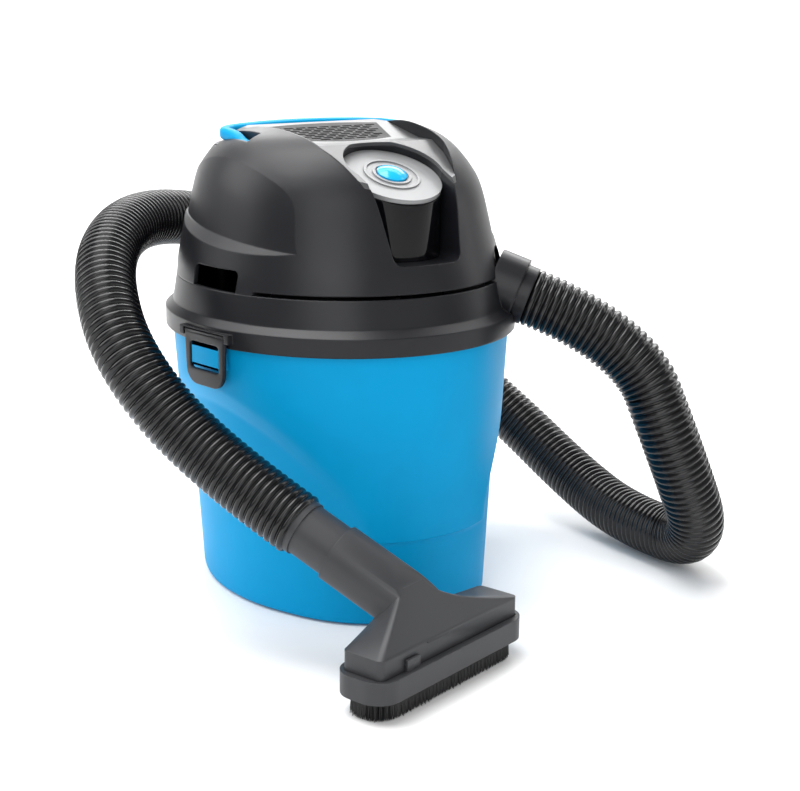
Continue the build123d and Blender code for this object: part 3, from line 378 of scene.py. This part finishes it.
# Rounds the corners of a flat outline, each with its own radius.
def rounded_outline(corners, radii):
    arc_steps = 8
    outline = []
    for i, corner in enumerate(corners):
        before = (corners[i - 1] - corner).normalized()
        after = (corners[(i + 1) % len(corners)] - corner).normalized()
        half_angle = before.angle(after) / 2
        middle = corner + (before + after).normalized() * radii[i] / math.sin(half_angle)
        start = corner + before * radii[i] / math.tan(half_angle) - middle
        end = corner + after * radii[i] / math.tan(half_angle) - middle
        for step in range(arc_steps + 1):
            outward = start.normalized().slerp(end.normalized(), step / arc_steps)
            outline.append(middle + outward * radii[i])
    return outline


# A four-sided outline that stands upright on the middle line, as wide below and above as it is told.
def upright_outline(low, high, half_low, half_high, round_low, round_high):
    corners = [(-half_low, low), (half_low, low), (half_high, high), (-half_high, high)]
    return rounded_outline(
        [Vector(corner) for corner in corners], (round_low, round_low, round_high, round_high)
    )


tongue_outlines = [
    upright_outline(
        low=0.1550, high=0.1910, half_low=0.0190, half_high=0.0210, round_low=0.0110, round_high=0.0012
    ),
    upright_outline(
        low=0.1655, high=0.1835, half_low=0.0150, half_high=0.0150, round_low=0.0022, round_high=0.0030
    ),
]
for body, side in (("left_latch", -1), ("right_latch", 1)):
    tongue_curve = bpy.data.curves.new(body, "CURVE")
    tongue_curve.dimensions = "2D"
    tongue_curve.fill_mode = "BOTH"
    for outline in tongue_outlines:
        loop = tongue_curve.splines.new("POLY")
        loop.points.add(len(outline) - 1)
        loop.use_cyclic_u = True
        for point, place in zip(loop.points, outline):
            point.co = (place.x, place.y, 0, 1)
    tongue_curve.offset = -tongue_edge
    tongue_curve.bevel_depth = tongue_edge
    tongue_curve.bevel_resolution = 3
    tongue_curve.extrude = tongue_thickness / 2 - tongue_edge
    latch = bpy.data.objects.new(body + "_tongue", tongue_curve)
    bpy.context.scene.collection.objects.link(latch)
    bpy.ops.object.select_all(action="DESELECT")
    latch.select_set(True)
    bpy.context.view_layer.objects.active = latch
    bpy.ops.object.convert(target="MESH")
    bpy.ops.object.mode_set(mode="EDIT")
    bpy.ops.mesh.select_all(action="SELECT")
    bpy.ops.mesh.remove_doubles(threshold=close_by / 10)
    bpy.ops.mesh.normals_make_consistent(inside=False)
    bpy.ops.object.mode_set(mode="OBJECT")
    bpy.ops.mesh.primitive_cylinder_add(
        vertices=24, radius=hinge_bore_radius, depth=drill_length, location=(0, hinge_z, 0)
    )
    drill = bpy.context.object
    drill.rotation_euler = (0, math.pi / 2, 0)
    latch.select_set(True)
    bpy.context.view_layer.objects.active = latch
    bore = latch.modifiers.new("bore", "BOOLEAN")
    bore.object = drill
    bpy.ops.object.modifier_apply(modifier="bore")
    bpy.data.objects.remove(drill)
    latch.data.transform(Matrix.Translation(latch_place + latch_out * tongue_middle) @ latch_turn)
    if side < 0:
        latch.data.transform(Matrix.Scale(-1, 4, (1, 0, 0)))
        latch.data.flip_normals()
    bpy.ops.object.shade_smooth_by_angle(angle=math.radians(40))
    latch.data.materials.append(black_plastic)
    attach(latch, body)
    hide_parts("latch_left" if side < 0 else "latch_right")


# Turned or drawn metal: fine lines along one axis over a bright base.
def drawn_metal(name, colour, roughness, stretch):
    material = bpy.data.materials.new(name)
    material.use_nodes = True
    nodes = material.node_tree.nodes
    links = material.node_tree.links
    shader = nodes["Principled BSDF"]
    shader.inputs["Metallic"].default_value = 1
    place = nodes.new("ShaderNodeTexCoord")
    squeeze = nodes.new("ShaderNodeMapping")
    squeeze.inputs["Scale"].default_value = stretch
    links.new(place.outputs["Object"], squeeze.inputs["Vector"])
    lines = nodes.new("ShaderNodeTexNoise")
    lines.inputs["Scale"].default_value = 400
    links.new(squeeze.outputs["Vector"], lines.inputs["Vector"])
    tone = nodes.new("ShaderNodeValToRGB")
    tone.color_ramp.elements[0].position = 0.3
    tone.color_ramp.elements[0].color = [value * 0.85 for value in colour] + [1]
    tone.color_ramp.elements[1].position = 0.7
    tone.color_ramp.elements[1].color = list(colour) + [1]
    links.new(lines.outputs["Fac"], tone.inputs["Fac"])
    links.new(tone.outputs["Color"], shader.inputs["Base Color"])
    gloss = nodes.new("ShaderNodeMapRange")
    gloss.inputs["To Min"].default_value = roughness - 0.08
    gloss.inputs["To Max"].default_value = roughness + 0.08
    links.new(lines.outputs["Fac"], gloss.inputs["Value"])
    links.new(gloss.outputs["Result"], shader.inputs["Roughness"])
    bump = nodes.new("ShaderNodeBump")
    bump.inputs["Strength"].default_value = 0.2
    bump.inputs["Distance"].default_value = 0.00005
    links.new(lines.outputs["Fac"], bump.inputs["Height"])
    links.new(bump.outputs["Normal"], shader.inputs["Normal"])
    return material


steel = drawn_metal("steel", (0.62, 0.62, 0.63), roughness=0.3, stretch=(1, 1, 8))
paint(["latch_pins"], steel)

# Float cage, float ball and filter, hung under the deck. The foam is a dark open-celled sleeve round the
# cage, held by a plastic ring.
inner_plastic = moulded_plastic(
    "inner_plastic", (0.03, 0.03, 0.032), roughness=0.45, grain_size=0.0008, grain_depth=0.00003,
    edge_radius=0.0004,
)
paint(["inlet_elbow", "float_cage", "filter_ring"], inner_plastic)
float_white = moulded_plastic(
    "float_white", (0.8, 0.8, 0.77), roughness=0.35, grain_size=0.0008, grain_depth=0.00001,
    edge_radius=0,
)
paint(["float_ball"], float_white)
foam_middle = Vector((0, 0.018, 0))
foam_sides = 144
foam_bore = 0.0223
foam_skin = 0.0363
foam_low = 0.1284
foam_row = 0.0014
foam_rows = 38
foam_pits = 0.0006
foam_random = random.Random(4)
foam_profile = [(foam_bore, 0.1271), (0.0240, 0.1270), (0.0350, 0.1270), (0.0360, 0.1274)]
foam_profile += [(foam_skin, foam_low + foam_row * row) for row in range(foam_rows + 1)]
foam_profile += [(foam_skin, 0.1830), (0.0360, 0.1841), (0.0350, 0.1846), (0.0240, 0.1847)]
foam_profile += [(foam_bore, 0.1846), (foam_bore, 0.1700), (foam_bore, 0.1500)]
foam_rings = []
for radius, z in foam_profile:
    ring = []
    for i in range(foam_sides):
        pit = foam_pits * foam_random.random() if radius > (foam_bore + foam_skin) / 2 else 0
        rough = radius - pit
        angle = 2 * math.pi * i / foam_sides
        ring.append(foam_middle + Vector((rough * math.cos(angle), rough * math.sin(angle), z)))
    foam_rings.append(ring)
foam = skin_rings("foam_sleeve", foam_rings, True)
bpy.ops.object.shade_smooth()
foam_grey = bpy.data.materials.new("foam_grey")
foam_grey.use_nodes = True
foam_nodes = foam_grey.node_tree.nodes
foam_links = foam_grey.node_tree.links
foam_shader = foam_nodes["Principled BSDF"]
foam_shader.inputs["Roughness"].default_value = 0.95
foam_place = foam_nodes.new("ShaderNodeTexCoord")
foam_cells = foam_nodes.new("ShaderNodeTexVoronoi")
foam_cells.inputs["Scale"].default_value = 700
foam_links.new(foam_place.outputs["Object"], foam_cells.inputs["Vector"])
foam_tone = foam_nodes.new("ShaderNodeValToRGB")
foam_tone.color_ramp.elements[0].color = (0.008, 0.008, 0.009, 1)
foam_tone.color_ramp.elements[1].color = (0.075, 0.075, 0.08, 1)
foam_tone.color_ramp.elements[1].position = 0.7
foam_links.new(foam_cells.outputs["Distance"], foam_tone.inputs["Fac"])
foam_links.new(foam_tone.outputs["Color"], foam_shader.inputs["Base Color"])
foam_bump = foam_nodes.new("ShaderNodeBump")
foam_bump.inputs["Strength"].default_value = 0.9
foam_bump.inputs["Distance"].default_value = 0.0006
foam_links.new(foam_cells.outputs["Distance"], foam_bump.inputs["Height"])
foam_links.new(foam_bump.outputs["Normal"], foam_shader.inputs["Normal"])
foam.data.materials.append(foam_grey)
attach(foam, "head")
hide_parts("foam_filter")

# Motor: a two-pole motor stands on the fan housing, with the suction fan under it and a cooling fan on top.
# It is bolted through the deck, with a rubber gasket between.
paint(["motor_gasket"], seal_rubber)
paint(["fan_housing", "motor_bracket", "brush_holders", "cooling_fan"], inner_plastic)
lamination = drawn_metal("lamination", (0.32, 0.32, 0.33), roughness=0.45, stretch=(0.2, 0.2, 6))
paint(["stator", "armature"], lamination)
copper = drawn_metal("copper", (0.75, 0.38, 0.18), roughness=0.35, stretch=(1, 1, 6))
paint(["field_windings", "commutator"], copper)
carbon = moulded_plastic(
    "carbon", (0.02, 0.02, 0.02), roughness=0.6, grain_size=0.0005, grain_depth=0.00004,
    edge_radius=0,
)
paint(["carbon_brushes"], carbon)
fan_metal = drawn_metal("fan_metal", (0.72, 0.73, 0.74), roughness=0.35, stretch=(1, 1, 0.2))
paint(["impeller"], fan_metal)
paint(["motor_shaft", "lower_bearing", "upper_bearing", "impeller_nut", "motor_screws"], steel)

# Head cover: the satin black dome over the motor, screwed to the collar from below. A rubber gland for the
# mains lead sits in its back.
paint(["head_cover"], black_plastic)
paint(["head_screws"], steel)
paint(["cord_gland"], seal_rubber)

# Top panel and intake grille: dark grey plastic let into the valley between the dome's shoulders. The
# grille is a black plate with rows of slots, set in the panel.
grey_panel = moulded_plastic(
    "grey_panel", (0.050, 0.051, 0.053), roughness=0.34, grain_size=0.0006, grain_depth=0.00004,
    edge_radius=0.0006, shine=0.8,
)
paint(["top_panel"], grey_panel)
grille_black = moulded_plastic(
    "grille_black", (0.004, 0.004, 0.0045), roughness=0.5, grain_size=0.0006, grain_depth=0.00004,
    edge_radius=0.0002, shine=0.12,
)
paint(["intake_grille"], grille_black)

# Switch plate, power button, switch and window: a disc with a blue button over a gloss black window.
# The disc's pale grey base colour is in large part painted sheen: it stands in for the overhead light's
# reflection on a darker satin plate. The button travels into the disc.
# Painted sheen: this light grey base colour makes the plate look lit from above, beyond its own darker tone.
disc_grey_painted_sheen = moulded_plastic(
    "disc_grey_painted_sheen", (0.21, 0.213, 0.217), roughness=0.36, grain_size=0.0006, grain_depth=0.00004,
    edge_radius=0.0005, shine=0.8,
)
paint(["switch_plate"], disc_grey_painted_sheen)
button_blue = moulded_plastic(
    "button_blue", (0.004, 0.42, 0.80), roughness=0.16, grain_size=0.0010, grain_depth=0.000005,
    edge_radius=0.0004, mottling=0.03,
)
paint(["power_button"], button_blue)
paint(["switch_body"], inner_plastic)
window_black = moulded_plastic(
    "window_black", (0.002, 0.002, 0.003), roughness=0.08, grain_size=0.002, grain_depth=0.000003,
    edge_radius=0.0005, shine=0.25,
)
paint(["display_window"], window_black)

# Carry handle: a blue moulded bar, bowed across the back of the head, between two arms. The arms lie in
# channels and swing up on steel pins. The section has full round corners.
handle_route = [
    (-0.0675, 0.0036, 0.3040), (-0.0675, 0.0120, 0.3045), (-0.0675, 0.0220, 0.3098),
    (-0.0675, 0.0445, 0.3108), (-0.0380, 0.0497, 0.3122), (0.0000, 0.0538, 0.3126),
    (0.0380, 0.0497, 0.3122), (0.0675, 0.0445, 0.3108), (0.0675, 0.0220, 0.3098),
    (0.0675, 0.0120, 0.3045), (0.0675, 0.0036, 0.3040),
]
handle_smoothness = 16
handle_line = line_through("handle_line", handle_route, handle_smoothness)
handle_sides = 32
arm_half = (0.0038, 0.0042)
bar_half = (0.0054, 0.0042)
bar_reach = (0.066, 0.045)
handle_end_round = 0.003
handle_end_least = 0.0004
corner_fullness = 0.7
handle_rings = []
for i, place in enumerate(handle_line):
    heading = handle_line[min(i + 1, len(handle_line) - 1)] - handle_line[max(i - 1, 0)]
    across = Vector((heading.y, -heading.x, 0)).normalized()
    rise = across.cross(heading).normalized()
    if rise.z < 0:
        rise = -rise
    bar_share = smooth_step(-bar_reach[0], -bar_reach[1], -abs(place.x))
    to_end = min((place - handle_line[0]).length, (place - handle_line[-1]).length)
    close = math.sqrt(max(1 - (1 - min(to_end / handle_end_round, 1)) ** 2, handle_end_least))
    half_wide = (arm_half[0] + (bar_half[0] - arm_half[0]) * bar_share) * close
    half_high = (arm_half[1] + (bar_half[1] - arm_half[1]) * bar_share) * close
    ring = []
    for k in range(handle_sides):
        angle = 2 * math.pi * k / handle_sides
        wide = math.copysign(abs(math.cos(angle)) ** corner_fullness, math.cos(angle)) * half_wide
        high = math.copysign(abs(math.sin(angle)) ** corner_fullness, math.sin(angle)) * half_high
        ring.append(place + across * wide + rise * high)
    handle_rings.append(ring)
handle = skin_rings("handle_bar", handle_rings, False)


# Closes the open ends of the active piece.
def close_ends():
    bpy.ops.object.mode_set(mode="EDIT")
    bpy.ops.mesh.select_mode(type="EDGE")
    bpy.ops.mesh.select_all(action="DESELECT")
    bpy.ops.mesh.select_non_manifold()
    bpy.ops.mesh.edge_face_add()
    bpy.ops.mesh.select_all(action="SELECT")
    bpy.ops.mesh.normals_make_consistent(inside=False)
    bpy.ops.object.mode_set(mode="OBJECT")


close_ends()
bpy.ops.object.shade_smooth()
handle.data.materials.append(blue_plastic)
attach(handle, "handle")
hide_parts("carry_handle")
paint(["handle_pins"], steel)

# Nozzle and tool cuff: dark grey plastic with a fine grain. A round socket runs into a flat fan over the
# mouth, and the nozzle turns on the cuff that stands in the socket.
tool_grey = moulded_plastic(
    "tool_grey", (0.028, 0.029, 0.032), roughness=0.45, grain_size=0.0005, grain_depth=0.00006,
    edge_radius=0.0007, shine=0.4,
)
paint(["hose_cuff_tool", "brush_frame"], tool_grey)
tool_middle = Vector((-0.058, -0.197, 0))
tool_turn = math.radians(16.8)
tool_frame = Matrix.Translation(tool_middle) @ Matrix.Rotation(tool_turn, 4, "Z")
mouth_half = (0.0668, 0.0148)
mouth_low = 0.0203
mouth_high = 0.039
fan_slope = Vector((0, 0.644, 0.766))
fan_back = Vector((0, 0.360, 0.071))
fan_height = 0.0338
fan_top = (-0.0240, 0.0020)
fan_waist = 1.9
fan_steps = 24
ridge_round = 0.0040
mouth_wall = 0.0022
mouth_depth = 0.016


# One ring round the fan: its front line climbs the fan's face and its back line stays low.
def fan_ring(height, up, left, right):
    front = Vector((0, -mouth_half[1], height)) + fan_slope * up
    back = Vector((0, mouth_half[1], height)) + fan_back * up
    depth = (back - front).length
    corners = [Vector((left, 0)), Vector((right, 0)), Vector((right, depth)), Vector((left, depth))]
    outline = rounded_outline(corners, [ridge_round] * len(corners))
    return [Vector((point.x, 0, 0)) + front.lerp(back, point.y / depth) for point in outline]


nozzle_rings = [
    fan_ring(mouth_low, 0, -mouth_half[0], mouth_half[0]),
    fan_ring(mouth_high - fan_height / fan_steps, 0, -mouth_half[0], mouth_half[0]),
]
for row in range(fan_steps + 1):
    share = row / fan_steps
    left = fan_top[0] - (mouth_half[0] + fan_top[0]) * (1 - share)
    right = fan_top[1] + (mouth_half[0] - fan_top[1]) * (1 - share) ** fan_waist
    nozzle_rings.append(fan_ring(mouth_high, fan_height * share, left, right))
nozzle = skin_rings("nozzle_body", nozzle_rings, False)
close_ends()
pick(nozzle, "FACE", lambda corners: max(corner.z for corner in corners) < mouth_low + close_by)
bpy.ops.mesh.inset(thickness=mouth_wall)
bpy.ops.mesh.extrude_region_move(TRANSFORM_OT_translate={"value": (0, 0, mouth_depth)})
bpy.ops.object.mode_set(mode="OBJECT")
socket_way = Vector((0.2035, -0.8674, -0.4540)).normalized()
socket_middle = Vector((-0.0153, 0.0240, 0.0590))
socket_reach = 0.037
socket_end = socket_middle - socket_way * socket_reach
socket_length = 0.083
socket_radius = 0.01865
socket_wall = 0.0018
socket_depth = 0.034
socket_low = 0.0375
socket_under_fan = 0.0002
bpy.ops.object.select_all(action="DESELECT")
bpy.ops.mesh.primitive_cylinder_add(vertices=72, radius=socket_radius, depth=socket_length)
socket = bpy.context.object
socket.name = "socket"
socket_turn = socket_way.to_track_quat("Z", "Y").to_matrix().to_4x4()
socket.data.transform(Matrix.Translation(socket_end + socket_way * socket_length / 2) @ socket_turn)
fan_out = Vector((0, -0.766, 0.644))
fan_face = Vector((0, -mouth_half[1], mouth_high)) - fan_out * socket_under_fan
bpy.ops.object.mode_set(mode="EDIT")
bpy.ops.mesh.select_all(action="SELECT")
bpy.ops.mesh.bisect(plane_co=fan_face, plane_no=fan_out, use_fill=True, clear_outer=True)
bpy.ops.mesh.select_all(action="SELECT")
bpy.ops.mesh.bisect(plane_co=(0, 0, socket_low), plane_no=(0, 0, -1), use_fill=True, clear_outer=True)
bpy.ops.object.mode_set(mode="OBJECT")
pick(socket, "FACE", lambda face: max((point - socket_end).dot(socket_way) for point in face) < close_by)
bpy.ops.mesh.inset(thickness=socket_wall)
bpy.ops.mesh.extrude_region_move(TRANSFORM_OT_translate={"value": socket_way * socket_depth})
bpy.ops.object.mode_set(mode="OBJECT")
bpy.ops.object.select_all(action="DESELECT")
nozzle.select_set(True)
bpy.context.view_layer.objects.active = nozzle
union = nozzle.modifiers.new("socket", "BOOLEAN")
union.operation = "UNION"
union.object = socket
bpy.ops.object.modifier_apply(modifier="socket")
bpy.data.objects.remove(socket)
nozzle.data.transform(tool_frame)
bpy.ops.object.shade_smooth_by_angle(angle=math.radians(42))
nozzle.data.materials.append(tool_grey)
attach(nozzle, "floor_nozzle")
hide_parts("nozzle")

# Bristles: tufts of black nylon in two rows round the mouth, set in a backing that clips into the frame.
# Four tufts are modelled, and their copies stand along an oval track.
bristle_black = moulded_plastic(
    "bristle_black", (0.006, 0.006, 0.007), roughness=0.4, grain_size=0.0006, grain_depth=0.00002,
    edge_radius=0,
)
track_half_straight = 0.052
track_radius = 0.014
tuft_kinds = 4
strands_outside = 10
strands_inside = 7
ring_outside = 0.00115
ring_inside = 0.00055
strand_foot = 0.00022
strand_root = 0.00030
strand_length = 0.0136
root_height = 0.0140
tip_heights = (0.0004, 0.0014)
splay = 0.35
lean_out = (-0.0002, 0.0010)
lean_along = (-0.0004, 0.0004)
bristle_random = random.Random(7)
tuft_meshes = []
for kind in range(tuft_kinds):
    bpy.ops.object.select_all(action="DESELECT")
    strands = []
    for strand in range(strands_outside + strands_inside):
        bpy.ops.mesh.primitive_cone_add(
            vertices=4, radius1=strand_foot, radius2=strand_root, depth=strand_length, end_fill_type="NGON"
        )
        hair = bpy.context.object
        outside = strand < strands_outside
        angle = 2 * math.pi * strand / (strands_outside if outside else strands_inside)
        ring = ring_outside if outside else ring_inside
        foot = Vector((ring * math.cos(angle), ring * math.sin(angle), 0))
        sway = Vector((bristle_random.uniform(*lean_out), bristle_random.uniform(*lean_along), 0))
        lean = foot * splay + sway
        tip = bristle_random.uniform(*tip_heights)
        for vertex in hair.data.vertices:
            low = vertex.co.z < 0
            vertex.co.z = tip if low else root_height
            vertex.co += foot + (lean if low else Vector())
        strands.append(hair)
    for hair in strands:
        hair.select_set(True)
    bpy.ops.object.join()
    tuft_meshes.append(bpy.context.object.data)
    bpy.data.objects.remove(bpy.context.object)


# The place on the bristles' oval track at one length along it, and the way outwards there.
def on_track(distance, radius):
    straight = 2 * track_half_straight
    half_round = straight + math.pi * radius
    flip = 1 if distance % (2 * half_round) < half_round else -1
    distance %= half_round
    if distance < straight:
        place = Vector((distance - track_half_straight, -radius, 0))
        outwards = Vector((0, -1, 0))
    else:
        angle = (distance - straight) / radius - math.pi / 2
        outwards = Vector((math.cos(angle), math.sin(angle), 0))
        place = Vector((track_half_straight, 0, 0)) + outwards * radius
    return place * flip, outwards * flip


# The length once round the track.
def track_length(radius):
    return 4 * track_half_straight + 2 * math.pi * radius


backing_sides = 96
backing_out = 0.0013
backing_in = -0.0040
backing_low = 0.0132
backing_high = 0.0150
backing_section = [
    (backing_out, backing_low), (backing_out, backing_high),
    (backing_in, backing_high), (backing_in, backing_low),
]
backing = []
for step, z in backing_section:
    ring = []
    for i in range(backing_sides):
        place, outwards = on_track(track_length(track_radius) * i / backing_sides, track_radius)
        ring.append(place + outwards * step + Vector((0, 0, z)))
    backing.append(ring)
bristles = skin_rings("bristle_tufts", backing, True)
tuft_step = 0.0034
row_gap = 0.0029
tufts = []
for radius in (track_radius, track_radius - row_gap):
    for number in range(int(track_length(radius) // tuft_step)):
        root, outwards = on_track(number * tuft_step, radius)
        mesh = bristle_random.choice(tuft_meshes).copy()
        facing = Matrix.Rotation(math.atan2(outwards.y, outwards.x), 4, "Z")
        mesh.transform(Matrix.Translation(root) @ facing)
        tuft = bpy.data.objects.new("tuft", mesh)
        bpy.context.scene.collection.objects.link(tuft)
        tufts.append(tuft)
for tuft in tufts:
    tuft.select_set(True)
bpy.context.view_layer.objects.active = bristles
bpy.ops.object.join()
bristles.data.transform(tool_frame)
bristles.data.materials.clear()
bristles.data.materials.append(bristle_black)
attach(bristles, "brush")
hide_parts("bristles")

# Floor and backdrop: a pale sheet of matt card that lies under the vacuum and sweeps up behind it in one wide
# curve. It is no part of the vacuum.
floor_width = 24
floor_front = -8
floor_back = 2.6
sweep_height = 3
sweep_radius = 0.7
bpy.ops.object.select_all(action="DESELECT")
bpy.ops.mesh.primitive_plane_add(size=1)
floor = bpy.context.object
floor.name = "floor"
away = Vector((0.55, 0.835, 0)).normalized()
sideways = Vector((away.y, -away.x, 0))
for vertex in floor.data.vertices:
    vertex.co = sideways * vertex.co.x * floor_width + away * (floor_back if vertex.co.y > 0 else floor_front)


# The floor's far edge, where the sweep begins.
def far_edge(ends):
    at_back = min(end.dot(away) for end in ends) > floor_back - close_by
    return at_back and max(end.z for end in ends) < close_by


pick(floor, "EDGE", far_edge)
bpy.ops.mesh.extrude_region_move(TRANSFORM_OT_translate={"value": (0, 0, sweep_height)})
pick(floor, "EDGE", far_edge)
bpy.ops.mesh.bevel(offset=sweep_radius, segments=24)
bpy.ops.object.mode_set(mode="OBJECT")
bpy.ops.object.shade_smooth()
floor_paint = bpy.data.materials.new("floor_paint")
floor_paint.use_nodes = True
floor_shader = floor_paint.node_tree.nodes["Principled BSDF"]
floor_shader.inputs["Base Color"].default_value = (0.88, 0.88, 0.88, 1)
floor_shader.inputs["Roughness"].default_value = 0.8
floor_shader.inputs["Specular IOR Level"].default_value = 0.1
floor.data.materials.append(floor_paint)


# Light: a wide soft light overhead, a long one over the backdrop, and upright soft boxes at the sides.
# All are white, and the room between them is pale.
def softbox(name, place, target, size, radiance):
    light = bpy.data.lights.new(name, "AREA")
    light.shape = "RECTANGLE"
    light.size = size[0]
    light.size_y = size[1]
    light.energy = radiance * math.pi * size[0] * size[1]
    lamp = bpy.data.objects.new(name, light)
    bpy.context.scene.collection.objects.link(lamp)
    lamp.location = place
    lamp.rotation_euler = (Vector(target) - Vector(place)).to_track_quat("-Z", "Y").to_euler()


softbox("light_front", place=(-1.6, -1.75, 1.45), target=(0, 0, 0.2), size=(1.7, 2.4), radiance=2.5)
softbox("light_fill", place=(0.5, -2.4, 0.9), target=(0, 0, 0.2), size=(2.0, 1.2), radiance=0.6)
softbox("light_top", place=(-0.55, 0.3, 2.5), target=(0, 0, 0.25), size=(1.6, 1.6), radiance=7.5)
softbox("light_back", place=(1.15, 1.45, 1.5), target=(0, 0, 0.25), size=(2.2, 0.9), radiance=4.6)
softbox("light_backdrop", place=(0.9, 1.5, 3.2), target=(1.5, 2.3, 0.2), size=(5, 1.2), radiance=3.8)
softbox("light_left", place=(-1.4, 1.15, 1.4), target=(0, 0, 0.2), size=(1.2, 1.7), radiance=3.6)
softbox("light_right", place=(1.6, -0.5, 0.9), target=(0, 0, 0.2), size=(0.3, 1.5), radiance=3)
world = bpy.data.worlds.new("studio")
bpy.context.scene.world = world
world.use_nodes = True
world.node_tree.nodes["Background"].inputs["Color"].default_value = (1, 1, 1, 1)
world.node_tree.nodes["Background"].inputs["Strength"].default_value = 0.35
bpy.context.scene.view_settings.view_transform = "Standard"
